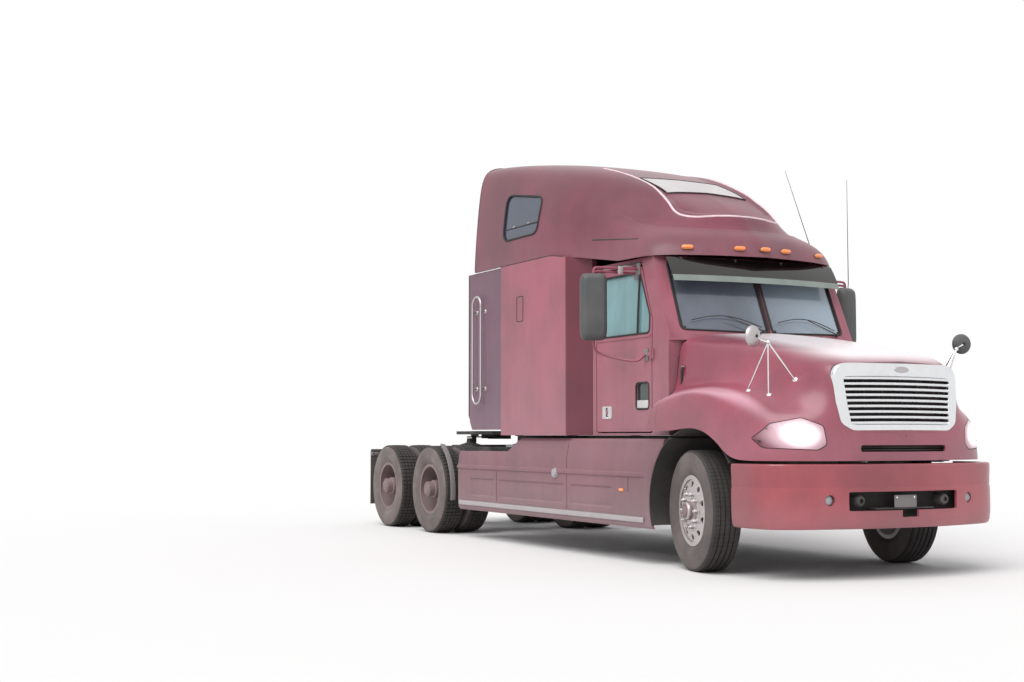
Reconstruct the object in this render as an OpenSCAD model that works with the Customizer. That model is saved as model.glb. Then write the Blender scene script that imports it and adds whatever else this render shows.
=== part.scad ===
// Long-nose road tractor with a raised-roof sleeper, tandem drive axles and a tilting hood.
// Millimetres, +Z up, front towards -Y. The origin is on the ground at the middle of the vehicle's box.
// Inside the modules y runs back from the bumper face; the last lines move it to the frame.

/* [Overall] */
// Length from the bumper's bends to the end of the frame
overall_len = 8750; // [8600:10:9400]
// Width over the bumper and the dual tyres
body_w = 2440; // [2400:10:2520]
// Height of the raised roof's crown
roof_top = 4160; // [4100:10:4190]

/* [Wheels] */
// Tyre outside diameter
tyre_d = 1026; // [1006:2:1040]
// Tyre section width
tyre_w = 285; // [275:1:295]
// Rim diameter at the bead seat
rim_d = 572; // [552:2:590]
// Front axle behind the bumper face
front_axle = 1240; // [1230:1:1260]
// Front axle to the middle of the drive axles
wheelbase = 6190; // [6150:10:6400]
// Distance between the two drive axles
tandem = 1320; // [1290:10:1380]
// Steered tyre's middle from the vehicle's middle
steer_x = 1040; // [1030:1:1050]
// Kingpin's axis from the vehicle's middle
kingpin_x = 880; // [870:1:890]
// Angle that the front wheels are turned to the right as it stands
steer_rest = 12; // [0:1:14]
// Middle to middle of twin tyres
dual_pitch = 335; // [325:1:345]

/* [Frame] */
// Width over the frame rails
rail_w = 864; // [840:2:880]
// Rail height
rail_h = 270; // [250:1:290]
// Rail flange width
rail_flange = 90; // [80:1:100]
// Rail plate thickness
rail_t = 10; // [8:1:14]
// Height of the rails' top face
rail_top = 1010; // [1000:1:1030]

/* [Cab] */
// Width over the cab's doors
cab_w = 2100; // [2060:10:2140]
// Width over the sleeper
sleeper_w = 2420; // [2380:10:2440]
// Underside of the cab's floor
floor_z = 1150; // [1140:1:1180]
// Front edge of the cab's side
cowl_y = 1790; // [1785:1:1810]
// Back of the cab, where the sleeper's flare starts
cab_back = 3140; // [3120:10:3180]
// Where the sleeper reaches its full width
sleeper_front = 3420; // [3380:10:3480]
// Back wall of the sleeper
sleeper_back = 4830; // [4780:10:4900]
// Thickness of the cab's walls and doors
wall = 50; // [40:1:60]
// How much narrower the cab's side is at its top
tumblehome = 50; // [30:1:60]
// Top of the cab's sides
cab_top = 2790; // [2770:5:2810]
// Top of the sleeper's sides
sleeper_top = 2960; // [2940:5:2990]

/* [Doors] */
// Front edge of the door opening
door_front = 2060; // [2050:1:2080]
// Rear edge of the door opening
door_back = 3070; // [3050:1:3080]
// Gap round a door
door_gap = 13; // [13:1:16]
// Door handle's height
handle_z = 1365; // [1330:5:1400]

/* [Hood] */
// Thickness of the hood's moulding
hood_t = 18; // [14:1:24]
// Height of the hood's lower edge
hood_low = 948; // [944:1:960]
// Radius of the wheel arch
arch_r = 660; // [650:1:680]
// Height of the wheel arch's centre
arch_z = 560; // [550:1:575]

/* [Bumper] */
// Bottom of the bumper
bumper_z = 410; // [395:5:430]
// Height of the bumper
bumper_h = 515; // [500:1:520]
// How far the bumper's middle stands ahead of the point that lengths are measured from
nose = 82; // [70:1:90]
// Thickness of the bumper's moulding
bumper_t = 24; // [18:1:32]

/* [Side fairings] */
// Back end of the fairing
fairing_back = 5960; // [5900:10:6050]
// Bottom of the fairing
fairing_z = 320; // [300:5:340]
// Thickness of the fairing's panels
fairing_t = 24; // [18:1:30]

/* [Fifth wheel] */
// Height of the coupling plate's top
fifth_z = 1200; // [1190:1:1230]
// Width of the coupling plate
fifth_w = 960; // [900:10:1000]
// Length of the coupling plate
fifth_len = 940; // [900:10:1000]
// Radius of the jaw round the kingpin
jaw_r = 25.6; // [25.4:0.1:26]

/* [Hidden] */
$fn = 64;

tyre_r = tyre_d / 2;
rim_r = rim_d / 2;
half_w = body_w / 2;
cab_x = cab_w / 2;
sleeper_x = sleeper_w / 2;
rail_x = rail_w / 2;
seat = 0.3;             // clearance between pieces that rest on each other
run = 0.5;              // running clearance of a pin or spindle
drive_front = front_axle + wheelbase - tandem / 2;
drive_back = drive_front + tandem;
king_y = front_axle + wheelbase - 50;
outer_dual_x = half_w - tyre_w / 2;
inner_dual_x = outer_dual_x - dual_pitch;
dual_x = (outer_dual_x + inner_dual_x) / 2;

// Helpers

module both_sides() {
    children();
    mirror([1, 0, 0]) children();
}

// A flat outline in x and z, drawn out from y0 to y1
module along_y(y0, y1) translate([0, y1, 0]) rotate([90, 0, 0]) linear_extrude(y1 - y0) children();

// A flat outline in y and z, drawn out from x0 to x1
module along_x(x0, x1) translate([x0, 0, 0]) rotate([90, 0, 90]) linear_extrude(x1 - x0) children();

// A bar between two corners
module block(a, b) translate(a) cube(b - a);

// A cylinder along x
module rod_x(x0, x1, y, z, r) translate([x0, y, z]) rotate([0, 90, 0]) cylinder(h = x1 - x0, r = r);

// A cylinder along y
module rod_y(y0, y1, x, z, r) translate([x, y0, z]) rotate([-90, 0, 0]) cylinder(h = y1 - y0, r = r);

// A round bar from one point to another
module bar(a, b, r) {
    d = b - a;
    h = norm(d);
    translate(a) rotate([0, acos(d[2] / h), atan2(d[1], d[0])]) cylinder(h = h, r = r, $fn = 24);
}

// A round tube bent through a list of points
module tube(points, r) {
    for (i = [0:len(points) - 2]) bar(points[i], points[i + 1], r);
    for (i = [1:len(points) - 2]) translate(points[i]) sphere(r = r * 1.06, $fn = 24);
}

// A rectangle with round corners, from its corner points
module rounded(a, b, r) hull() for (x = [a[0] + r, b[0] - r], y = [a[1] + r, b[1] - r])
    translate([x, y]) circle(r = r, $fn = 32);

// A polygon with its corners rounded
module soft_outline(points, r) offset(r = r, $fn = 32) offset(delta = -r) polygon(points);

// Cubic B-spline surfaces over a net of control points

function blend(a, b, c, d, t) = (pow(1 - t, 3) * a + (3 * pow(t, 3) - 6 * t * t + 4) * b
    + (-3 * pow(t, 3) + 3 * t * t + 3 * t + 1) * c + pow(t, 3) * d) / 6;

function held(p) = concat([2 * p[0] - p[1]], p, [2 * p[len(p) - 1] - p[len(p) - 2]]);

function spline(p, steps) = let (q = held(p), n = len(p) - 1)
    concat([for (i = [0:n - 1], k = [0:steps - 1]) blend(q[i], q[i + 1], q[i + 2], q[i + 3], k / steps)], [p[n]]);

function surface_of(net, steps_u, steps_v) =
    let (rows = [for (r = net) spline(r, steps_u)])
    [for (j = [0:len(rows[0]) - 1]) spline([for (r = rows) r[j]], steps_v)];

function unit(v) = v / max(norm(v), 1e-9);

function normal_at(g, i, j) =
    let (n = len(g) - 1, m = len(g[0]) - 1)
    unit(cross(g[min(i + 1, n)][j] - g[max(i - 1, 0)][j], g[i][min(j + 1, m)] - g[i][max(j - 1, 0)]));

// A point of the surface at fractions of its rows and columns
function on_skin(g, place) = let (i = floor(place[0]), j = floor(place[1]), a = place[0] - i, b = place[1] - j,
    k = min(i + 1, len(g) - 1), m = min(j + 1, len(g[0]) - 1))
    (1 - a) * ((1 - b) * g[i][j] + b * g[i][m]) + a * ((1 - b) * g[k][j] + b * g[k][m]);

// The surface moved in along its normals; what lies on the middle plane stays on it
function inner_of(g, t) = [for (i = [0:len(g) - 1]) [for (j = [0:len(g[0]) - 1])
    let (p = g[i][j], q = p - t * normal_at(g, i, j)) abs(p[0]) < 0.01 ? [0, q[1], q[2]] : q]];

// A closed moulding of thickness t behind a surface
module moulding(g, t) {
    h = inner_of(g, t);
    n = len(g);
    m = len(g[0]);
    points = concat([for (r = g) for (p = r) p], [for (r = h) for (p = r) p]);
    k = n * m;
    quads = concat(
        [for (i = [0:n - 2], j = [0:m - 2]) [i * m + j, i * m + j + 1, (i + 1) * m + j + 1, (i + 1) * m + j]],
        [for (i = [0:n - 2], j = [0:m - 2])
            [k + i * m + j, k + (i + 1) * m + j, k + (i + 1) * m + j + 1, k + i * m + j + 1]],
        [for (i = [0:n - 2]) [i * m, (i + 1) * m, k + (i + 1) * m, k + i * m]],
        [for (i = [0:n - 2]) [i * m + m - 1, k + i * m + m - 1, k + (i + 1) * m + m - 1, (i + 1) * m + m - 1]],
        [for (j = [0:m - 2]) [j, k + j, k + j + 1, j + 1]],
        [for (j = [0:m - 2]) [(n - 1) * m + j, (n - 1) * m + j + 1, k + (n - 1) * m + j + 1, k + (n - 1) * m + j]]);
    polyhedron(points, [for (q = quads) each [[q[0], q[1], q[2]], [q[0], q[2], q[3]]]]);
}

// Wheels

tyre_half = tyre_w / 2;

module tyre_ring() {
    bead = rim_r + seat;
    tread = tyre_r;
    side = [[bead, bead_half / tyre_half], [bead + rim_lip + 2, (rim_half - 8) / tyre_half], [bead + 60, 0.97],
        [(bead + tread) / 2 + 10, 1],
        [tread - 55, 0.97], [tread - 22, 0.88], [tread - 5, 0.8], [tread, 0.7]];
    groove = 5;
    cut = 13;
    ribs = [for (c = [-0.45, -0.15, 0.15, 0.45]) each [[tread, c * tyre_half - groove], [tread - cut, c * tyre_half - groove],
        [tread - cut, c * tyre_half + groove], [tread, c * tyre_half + groove]]];
    rotate([0, 90, 0]) rotate_extrude($fn = 96) polygon(concat(
        [for (i = [0:len(side) - 1]) [side[i][0], -side[i][1] * tyre_half]],
        ribs,
        [for (i = [len(side) - 1:-1:0]) [side[i][0], side[i][1] * tyre_half]]));
}

hand_holes = 10;
stud_circle = 143;
rim_half = 0.8 * tyre_half;
bead_half = rim_half - 12;
rim_lip = 14;

// Barrel of a rim with its two lips, about the x axis
module rim_barrel() rotate([0, 90, 0]) rotate_extrude($fn = 96) polygon([
    [rim_r - 22, -rim_half], [rim_r + rim_lip, -rim_half], [rim_r + rim_lip, -rim_half + 7], [rim_r, -rim_half + 9],
    [rim_r, rim_half - 9], [rim_r + rim_lip, rim_half - 7], [rim_r + rim_lip, rim_half], [rim_r - 22, rim_half],
    [rim_r - 14, rim_half - 12], [rim_r - 12, 0], [rim_r - 14, -rim_half + 12]]);

// Dished disc from the barrel at x = root to the hub face at x = face, bulging the way the face lies
module rim_disc(root, face, hub_bore) {
    d = sign(face - root);
    rotate([0, 90, 0]) rotate_extrude($fn = 96) polygon([
        [hub_bore, face], [190, face], [228, face - d * 14], [rim_r - 28, (face + 2 * root) / 3], [rim_r - 13, root],
        [rim_r - 13, root - d * 12], [rim_r - 40, (face + 2 * root) / 3 - d * 12], [222, face - d * 28],
        [186, face - d * 15], [hub_bore, face - d * 15]]);
}

module hand_hole_cuts(x0, x1) for (i = [0:hand_holes - 1]) rotate([i * 360 / hand_holes, 0, 0])
    translate([x0, 0, rim_r - 62]) rotate([0, 90, 0]) cylinder(h = x1 - x0, r = 24, $fn = 32);

module studs(x0, x1) for (i = [0:9]) rotate([18 + i * 36, 0, 0])
    translate([x0, 0, stud_circle]) rotate([0, 90, 0]) cylinder(h = x1 - x0, r = 16, $fn = 6);

spindle_r = 40;
steer_face = 118;        // hub face of a steered rim, outboard of its tyre's middle
hub_r = 105;
hub_in = 60;             // inner end of the steered hub, inboard of the tyre's middle
hub_out = 175;

// Steered rim with its hub and brake drum, its tyre's middle at the origin, outboard towards +x
module steer_rim() difference() {
    union() {
        rim_barrel();
        difference() {
            rim_disc(rim_half - 18, steer_face, hub_r - 5);
            hand_hole_cuts(0, steer_face + 20);
        }
        rotate([0, 90, 0]) rotate_extrude($fn = 64) polygon([[0, -hub_in], [hub_r, -hub_in], [hub_r, steer_face + 8],
            [78, steer_face + 14], [74, hub_out - 8], [66, hub_out], [0, hub_out]]);
        studs(steer_face - 2, steer_face + 26);
    }
    rod_x(-hub_in - 1, hub_out - 30, 0, 0, spindle_r + run);
}

// Turns a front wheel's pieces about its kingpin to where they stand
module steered(side) translate([side * kingpin_x, front_axle, tyre_r]) rotate([0, 0, -steer_rest])
    mirror([side < 0 ? 1 : 0, 0, 0]) children();

module steer_wheel_at(side) steered(side) translate([steer_x - kingpin_x, 0, 0]) children();

module steer_tyre(side) color("dimgray") steer_wheel_at(side) tyre_ring();
module steer_rim_of(side) color("silver") steer_wheel_at(side) steer_rim();

drum_r = 205;
drive_hub_out = half_w - dual_x + 20;
half_pitch = dual_pitch / 2;

// Twin rims on one hub, the plane between the twins at the origin, outboard towards +x
module drive_rims_solid() difference() {
    union() {
        for (x = [-half_pitch, half_pitch]) translate([x, 0, 0]) rim_barrel();
        difference() {
            union() {
                rim_disc(half_pitch - rim_half + 18, 8, hub_r - 5);
                rim_disc(-half_pitch + rim_half - 18, -8, hub_r - 5);
                rod_x(-10, 10, 0, 0, 188);
            }
            hand_hole_cuts(-half_pitch, half_pitch);
        }
        rotate([0, 90, 0]) rotate_extrude($fn = 64) polygon([[0, -260], [hub_r, -260], [hub_r, drive_hub_out - 90],
            [88, drive_hub_out - 80], [88, drive_hub_out - 18], [70, drive_hub_out - 18], [62, drive_hub_out], [0, drive_hub_out]]);
        rotate([0, 90, 0]) rotate_extrude($fn = 64) polygon([[hub_r - 5, -60], [drum_r, -60], [drum_r, -285], [drum_r - 14, -285],
            [drum_r - 14, -74], [hub_r - 5, -74]]);
        studs(6, 46);
    }
    rod_x(-261, drive_hub_out - 40, 0, 0, spindle_r + run);
}

module drive_at(side, y) translate([side * dual_x, y, tyre_r]) mirror([side < 0 ? 1 : 0, 0, 0]) children();

module drive_tyres(side, y) color("dimgray") drive_at(side, y) for (x = [-half_pitch, half_pitch])
    translate([x, 0, 0]) tyre_ring();
module drive_rims(side, y) color("silver") drive_at(side, y) drive_rims_solid();

// Axles and suspension

king_half = 120;         // half the height of the knuckle's yoke
beam_boss = 62;          // half the height of the beam's end
king_pin_r = 22;
yoke_gap = 6;
spindle_end = steer_x + hub_out - 32;

// Steering knuckle: yoke round the beam's end, kingpin, spindle and steering arm
module knuckle(side) color("darkslategray") steered(side) {
    for (z = [-king_half, beam_boss + yoke_gap]) {
        translate([0, 0, z]) cylinder(h = king_half - beam_boss - yoke_gap, r = 44);
        block([0, -40, z], [60, 40, z + king_half - beam_boss - yoke_gap]);
    }
    translate([0, 0, -king_half]) cylinder(h = 2 * king_half, r = king_pin_r);
    block([50, -44, -king_half], [74, 44, king_half]);
    rod_x(60, spindle_end - kingpin_x, 0, 0, spindle_r);
    hull() {
        translate([0, 0, -king_half]) cylinder(h = 26, r = 30, $fn = 32);
        translate([-45, 200, -king_half]) cylinder(h = 26, r = 20, $fn = 32);
    }
}

spring_x = 370;
spring_half = 760;
spring_back = front_axle + spring_half;
beam_drop = 120;

// Forged front beam with its kingpin bosses, spring packs and hangers
module front_axle_parts() color("darkslategray") {
    difference() {
        union() {
            both_sides() {
                translate([kingpin_x, front_axle, tyre_r - beam_boss]) cylinder(h = 2 * beam_boss, r = 44);
                along_y(front_axle - 40, front_axle + 40) polygon([[kingpin_x + 10, tyre_r - beam_boss + 10],
                    [kingpin_x + 10, tyre_r + beam_boss - 20], [kingpin_x - 120, tyre_r + 20], [spring_x + 70, tyre_r - beam_drop + 70],
                    [0, tyre_r - beam_drop + 60], [0, tyre_r - beam_drop - 40], [spring_x + 70, tyre_r - beam_drop - 30],
                    [kingpin_x - 100, tyre_r - beam_boss]]);
            }
            block([-kingpin_x + 160, front_axle - 60, tyre_r - beam_drop + 48], [kingpin_x - 160, front_axle + 60, tyre_r - beam_drop + 62]);
        }
        both_sides() translate([kingpin_x, front_axle, tyre_r - beam_boss - 1]) cylinder(h = 2 * beam_boss + 2, r = king_pin_r + run);
    }
    both_sides() {
        block([spring_x - 40, front_axle - 90, tyre_r - beam_drop + 61], [spring_x + 40, front_axle + 90, rail_top - rail_h - 190]);
        along_x(spring_x - 38, spring_x + 38) polygon([
            for (a = [-1:0.125:1]) [front_axle + a * spring_half, rail_top - rail_h - 150 + 70 * a * a],
            for (a = [1:-0.125:-1]) [front_axle + a * spring_half, rail_top - rail_h - 192 + 112 * a * a - 40 * (1 - abs(a))]]);
        for (e = [-1, 1]) block([spring_x - 30, front_axle + e * 735 - 35, rail_top - rail_h - 90],
            [spring_x + 30, front_axle + e * 735 + 35, rail_top - rail_h - seat]);
    }
}

tube_r = 62;
bowl_r = 205;
axle_bowl_x = 40;
pinion_len = 300;

// The two driven axles: tubes, differential bowls and spindles
module drive_axle_parts() color("darkslategray") for (y = [drive_front, drive_back]) {
    both_sides() {
        rod_x(0, dual_x - 262, y, tyre_r, tube_r);
        rod_x(0, dual_x + drive_hub_out - 42, y, tyre_r, spindle_r);
    }
    translate([axle_bowl_x, y, tyre_r]) sphere(r = bowl_r);
    rod_y(y - pinion_len, y, axle_bowl_x, tyre_r + 30, 95);
    both_sides() block([spring_x - 55, y - 70, tyre_r + 20], [spring_x + 55, y + 70, tyre_r + 95]);
    block([-spring_x - 40, y - 20, tyre_r - 100], [spring_x + 40, y + 20, tyre_r - 40]);
}

// Leading beams, air bellows and their hangers
module rear_suspension_parts() color("dimgray") both_sides() for (y = [drive_front, drive_back]) {
    along_x(spring_x - 45, spring_x + 45) polygon([[y - 520, tyre_r + 150], [y - 440, tyre_r + 165], [y - 60, tyre_r + 95 + seat],
        [y + 180, tyre_r + 95 + seat], [y + 470, tyre_r + 30], [y + 470, tyre_r + 70], [y + 200, tyre_r + 160],
        [y - 60, tyre_r + 175], [y - 480, tyre_r + 215], [y - 540, tyre_r + 190]]);
    for (k = [0:2]) translate([spring_x, y + 370, tyre_r + 85 + k * 45]) cylinder(h = 50, r = k == 1 ? 120 : 128);
    block([spring_x - 60, y + 300, rail_top - rail_h - 18], [rail_x, y + 440, rail_top - rail_h - seat]);
    translate([spring_x, y + 370, tyre_r + 215]) cylinder(h = rail_top - rail_h - tyre_r - 215 - 10, r = 100);
    along_x(spring_x - 52, spring_x - 46) polygon([[y - 580, rail_top - rail_h - seat], [y - 420, rail_top - rail_h - seat],
        [y - 450, tyre_r + 140], [y - 550, tyre_r + 140]]);
    rod_x(spring_x - 50, spring_x + 46, y - 500, tyre_r + 185, 24);
}

// Frame

rail_bottom = rail_top - rail_h;
frame_front = 240;
frame_back = overall_len - 20;
member_h = 80;
member_ys = [2960, 4250, 5700, drive_front - 560, (drive_front + drive_back) / 2, drive_back + 300];

module channel() along_y(frame_front, frame_back - rail_t) difference() {
    translate([rail_x - rail_flange, rail_bottom]) square([rail_flange, rail_h]);
    translate([rail_x - rail_flange - 1, rail_bottom + rail_t]) square([rail_flange - rail_t + 1, rail_h - 2 * rail_t]);
}

hood_pivot_y = 38 - nose;
hood_pivot_z = bumper_z + bumper_h + 18;
pivot_x = 395;
pivot_r = 5;

// Two channel rails with cross members, end plate, cab mounts and the hood's pivot brackets
module frame_parts() color("dimgray") {
    both_sides() {
        channel();
        block([rail_x - 60, 1900, rail_top - 1], [rail_x - 4, 2010, floor_z - seat]);
        block([rail_x - 60, sleeper_back - 190, rail_top - 1], [rail_x - 4, sleeper_back - 70, floor_z - seat]);
        along_x(pivot_x - 12, pivot_x + 12) polygon([[frame_front + 60, rail_bottom + 20], [frame_front + 60, rail_top - 30],
            [hood_pivot_y + 130, hood_pivot_z + 16], [hood_pivot_y, hood_pivot_z + 8], [hood_pivot_y - 8, hood_pivot_z],
            [hood_pivot_y - 6, hood_pivot_z - 10], [hood_pivot_y + 130, hood_pivot_z - 12], [hood_pivot_y + 150, rail_bottom + 20]]);
        rod_x(pivot_x - 12, pivot_x + 40, hood_pivot_y, hood_pivot_z, pivot_r);
    }
    for (y = member_ys) difference() {
        block([-rail_x + rail_t - 1, y, rail_top - rail_t - 10 - member_h], [rail_x - rail_t + 1, y + 80, rail_top - rail_t - 10]);
        block([-rail_x + rail_flange, y + rail_t, rail_bottom], [rail_x - rail_flange, y + 90, rail_top - rail_t - 20]);
    }
    block([-rail_x + rail_t, frame_front, rail_bottom + 30], [rail_x - rail_t, frame_front + 60, rail_top - 40]);
    block([-rail_x, frame_back - rail_t - 1, rail_bottom - 60], [rail_x, frame_back, rail_top]);
}

engine_x = rail_x - rail_flange - 7;
gearbox_z = 840;
gearbox_r = 210;

// Engine and gearbox as closed blocks at their real place
module powertrain_parts() color("gray") {
    block([-engine_x, 640, 640], [engine_x, 1700, 1560]);
    block([-engine_x + 60, 1690, 660], [engine_x - 60, 2000, 1130]);
    rod_y(1990, 2900, 0, gearbox_z, gearbox_r);
    bar([0, 2890, gearbox_z], [axle_bowl_x, drive_front - pinion_len - 5, tyre_r + 30], 50);
    rod_y(drive_front + bowl_r + seat, drive_back - pinion_len - seat, axle_bowl_x, tyre_r + 60, 45);
    both_sides() block([engine_x - 20, 1000, rail_bottom + rail_t + seat], [rail_x - rail_t - seat, 1120, rail_bottom + 110]);
}

module radiator_parts() color("silver") {
    block([-470, 330, rail_top + 2], [470, 430, 1620]);
    block([rail_flange - rail_x + seat, frame_front + 60 + seat, 820], [rail_x - rail_flange - seat, 360, rail_top + 40]);
    rod_y(429, 600, 0, 1240, 330);
}

// Tanks and exhaust

tank_r = 300;
tank_x = 840;
tank_z = 700;
tank_y0 = 3150;
tank_y1 = 4750;

module fuel_tank_parts() color("silver") both_sides() {
    rod_y(tank_y0, tank_y1, tank_x, tank_z, tank_r);
    for (y = [tank_y0 + 250, tank_y1 - 300]) difference() {
        union() {
            rod_y(y, y + 60, tank_x, tank_z, tank_r + 6);
            block([rail_x + seat, y, rail_bottom + 10], [tank_x - 180, y + 60, rail_top - 15]);
        }
        rod_y(y + 10, y + 50, tank_x, tank_z, tank_r - 20);
    }
}

// Air reservoirs under the frame behind the cab
module air_tank_parts() color("dimgray") both_sides() {
    rod_y(5150, 5700, 280, rail_bottom - 135, 120);
    for (y = [5220, 5590]) block([255, y, rail_bottom - 40], [rail_x - 20, y + 40, rail_bottom - seat]);
}

module exhaust_parts() color("silver") {
    rod_y(2250, 3050, -640, 620, 130);
    rod_y(3040, 3120, -640, 620, 60);
    tube([[-600, 2260, 680], [-600, spring_back + 90, 680],
        [-sqrt(gearbox_r * gearbox_r - pow(gearbox_z - 680 - 45, 2)) - seat, spring_back + 90, 680]], 45);
    for (y = [2350, 2900]) block([-660, y, 740], [-rail_x - seat, y + 40, 800]);
}

deck_front = sleeper_back + 180;
deck_back = drive_front - tyre_r - 110;

module deck_plate_parts() color("silver") {
    difference() {
        block([-rail_x - 60, deck_front, rail_top + seat], [rail_x + 60, deck_back, rail_top + 26]);
        for (x = [-420:70:420], y = [deck_front + 60:170:deck_back - 120])
            block([x - 22, y, rail_top - 1], [x + 22, y + 110, rail_top + 30]);
    }
}

// Rear end

flap_y = overall_len - 60;

module mud_flap_parts() color("dimgray") both_sides() {
    tube([[rail_x + seat, flap_y, rail_top - 60], [half_w - 30, flap_y, rail_top - 60]], 20);
    block([inner_dual_x - 160, flap_y - 4, 260], [half_w - 20, flap_y + 4, rail_top - 60]);
}

module tail_lamp_parts() color("firebrick") both_sides() for (x = [150, 260, 370])
    rod_y(frame_back + seat, overall_len, x, rail_bottom - 10, 48);

// Fifth wheel

pivot_z = fifth_z - 120;
pad_x = 350;

module fifth_wheel_base_parts() color("dimgray") {
    both_sides() {
        difference() {
            along_x(pad_x - 8, pad_x + 52) polygon([[king_y - 260, rail_top + seat], [king_y + 260, rail_top + seat],
                [king_y + 240, rail_top + 24], [king_y + 55, pivot_z - 20], [king_y + 40, pivot_z + 34],
                [king_y - 40, pivot_z + 34], [king_y - 55, pivot_z - 20], [king_y - 240, rail_top + 24]]);
            rod_x(pad_x - 10, pad_x + 60, king_y, pivot_z, 24 + run);
        }
        block([rail_x + seat, king_y - 300, rail_top - 160], [rail_x + 60, king_y + 300, rail_top + 19]);
    }
    block([-rail_x - 60, king_y - 300, rail_top + seat], [rail_x + 60, king_y + 300, rail_top + 20]);
}

throat = 120;

// Coupling plate with its throat, ramps, jaw and pivot lugs
module fifth_wheel_parts() color("dimgray") {
    difference() {
        union() {
            intersection() {
                translate([0, 0, fifth_z - 40]) linear_extrude(40) difference() {
                    soft_outline([[-fifth_w / 2, king_y - fifth_len * 0.35], [-fifth_w * 0.3, king_y - fifth_len * 0.5],
                        [fifth_w * 0.3, king_y - fifth_len * 0.5], [fifth_w / 2, king_y - fifth_len * 0.35],
                        [fifth_w / 2, king_y + fifth_len * 0.2], [fifth_w * 0.36, king_y + fifth_len * 0.5],
                        [throat, king_y + fifth_len * 0.5], [jaw_r + 6, king_y + 60], [-jaw_r - 6, king_y + 60],
                        [-throat, king_y + fifth_len * 0.5], [-fifth_w * 0.36, king_y + fifth_len * 0.5],
                        [-fifth_w / 2, king_y + fifth_len * 0.2]], 18);
                }
                along_x(-fifth_w, fifth_w) polygon([[king_y - fifth_len, fifth_z - 40], [king_y - fifth_len, fifth_z],
                    [king_y + fifth_len * 0.25, fifth_z], [king_y + fifth_len * 0.52, fifth_z - 38], [king_y + fifth_len * 0.52, fifth_z - 40]]);
            }
            block([-110, king_y - 170, fifth_z - 96], [110, king_y + 40, fifth_z - 39]);
            both_sides() {
                block([60, king_y - 150, fifth_z - 90], [78, king_y + 300, fifth_z - 39]);
                block([pad_x - 60, king_y - 70, fifth_z - 60], [pad_x - 14, king_y + 70, fifth_z - 39]);
                rod_x(pad_x - 40, pad_x - 14, king_y, pivot_z, 44);
                block([pad_x - 40, king_y - 42, pivot_z], [pad_x - 14, king_y + 42, fifth_z - 50]);
                rod_x(pad_x - 15, pad_x + 50, king_y, pivot_z, 24);
            }
        }
        translate([0, king_y, fifth_z - 100]) cylinder(h = 120, r = jaw_r);
        block([-jaw_r - 0.4, king_y, fifth_z - 100], [jaw_r + 0.4, king_y + fifth_len, fifth_z + 1]);
    }
}

// Bumper

bumper_x = half_w;
bumper_end = front_axle - 617;
bumper_top = bumper_z + bumper_h;

// Plan outline of the bumper, inset by d
function bumper_plan(d) = let (w = bumper_x - d, side = [[-w, bumper_end], [-w, bumper_end * 0.7], [-w * 0.99, 250 + d * 0.5],
    [-w * 0.885, 92 + d], [-w * 0.59, d], [-w * 0.27, d - nose]])
    spline(concat(side, [[0, d - nose]], [for (q = flipped(side)) [-q[0], q[1]]]), 4);

function flipped(p) = [for (i = [len(p) - 1:-1:0]) p[i]];

slot_w = 560;
slot_z0 = 555;
slot_z1 = 705;
fog_x = 718;
fog_z = 640;
fog_r = 43;

module bumper_ring(t) polygon(concat(bumper_plan(0), flipped(bumper_plan(t))));

module bumper_parts() color("indianred") difference() {
    union() {
        translate([0, 0, bumper_z]) linear_extrude(bumper_h) bumper_ring(bumper_t);
        for (z = [bumper_z, bumper_top - 20]) translate([0, 0, z]) linear_extrude(20) bumper_ring(70);
        both_sides() block([pivot_x - 62, -50, bumper_top - 90], [pivot_x - 12 - seat, frame_front - seat, bumper_top - 20]);
    }
    along_y(-nose - 40, 200) {
        rounded([-slot_w, slot_z0], [slot_w, slot_z1], 18);
        rounded([-60, slot_z0 - 55], [110, slot_z1 - 20], 8);
    }
    both_sides() rod_y(-nose, 300, fog_x, fog_z, fog_r);
}

// Fog lamps, tow eyes and the licence bracket behind the bumper's mouth
module bumper_lamp_parts() color("lightgray") {
    both_sides() {
        rod_y(bumper_t + 12, bumper_t + 90, fog_x, fog_z, fog_r - 3);
        block([fog_x - 60, bumper_t + 80, fog_z - 55], [fog_x + 60, bumper_t + 98, fog_z + 55]);
        block([pivot_x + 36, bumper_t + 80, fog_z - 12], [fog_x - 50, bumper_t + 98, fog_z + 12]);
        rod_y(-10, frame_front + 60, pivot_x + 42, fog_z - 8, 46);
        block([pivot_x + 20, frame_front, fog_z - 8], [pivot_x + 50, frame_front + 60, rail_bottom - seat]);
    }
}

// Wheel liners

liner_r = arch_r - 12;
liner_t = arch_r * cos(3) - seat - liner_r;  // up to the fairing's arch

// Part of a ring in the wheel arch, from angle a to angle b, drawn across from x0 to x1
module liner_arc(a, b, x0, x1) along_x(x0, x1) polygon(concat(
    [for (i = [0:24]) let (q = a + (b - a) * i / 24) [front_axle + liner_r * cos(q), arch_z + liner_r * sin(q)]],
    [for (i = [24:-1:0]) let (q = a + (b - a) * i / 24)
        [front_axle + (liner_r + liner_t) * cos(q), arch_z + (liner_r + liner_t) * sin(q)]]));

module wheel_liner_parts() color("dimgray") both_sides() {
    liner_arc(-18, 60, rail_x + 20, fairing_x - 4);
    block([rail_x + seat, front_axle + liner_r - 2, rail_bottom + 60], [rail_x + 60, front_axle + liner_r + 90, rail_bottom + 110]);
}

// Side fairings

fairing_x = half_w - 22;
fairing_front = front_axle + 655;
fairing_top = floor_z - 30;
crease_z = 800;
fairing_low_top = 975;

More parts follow.
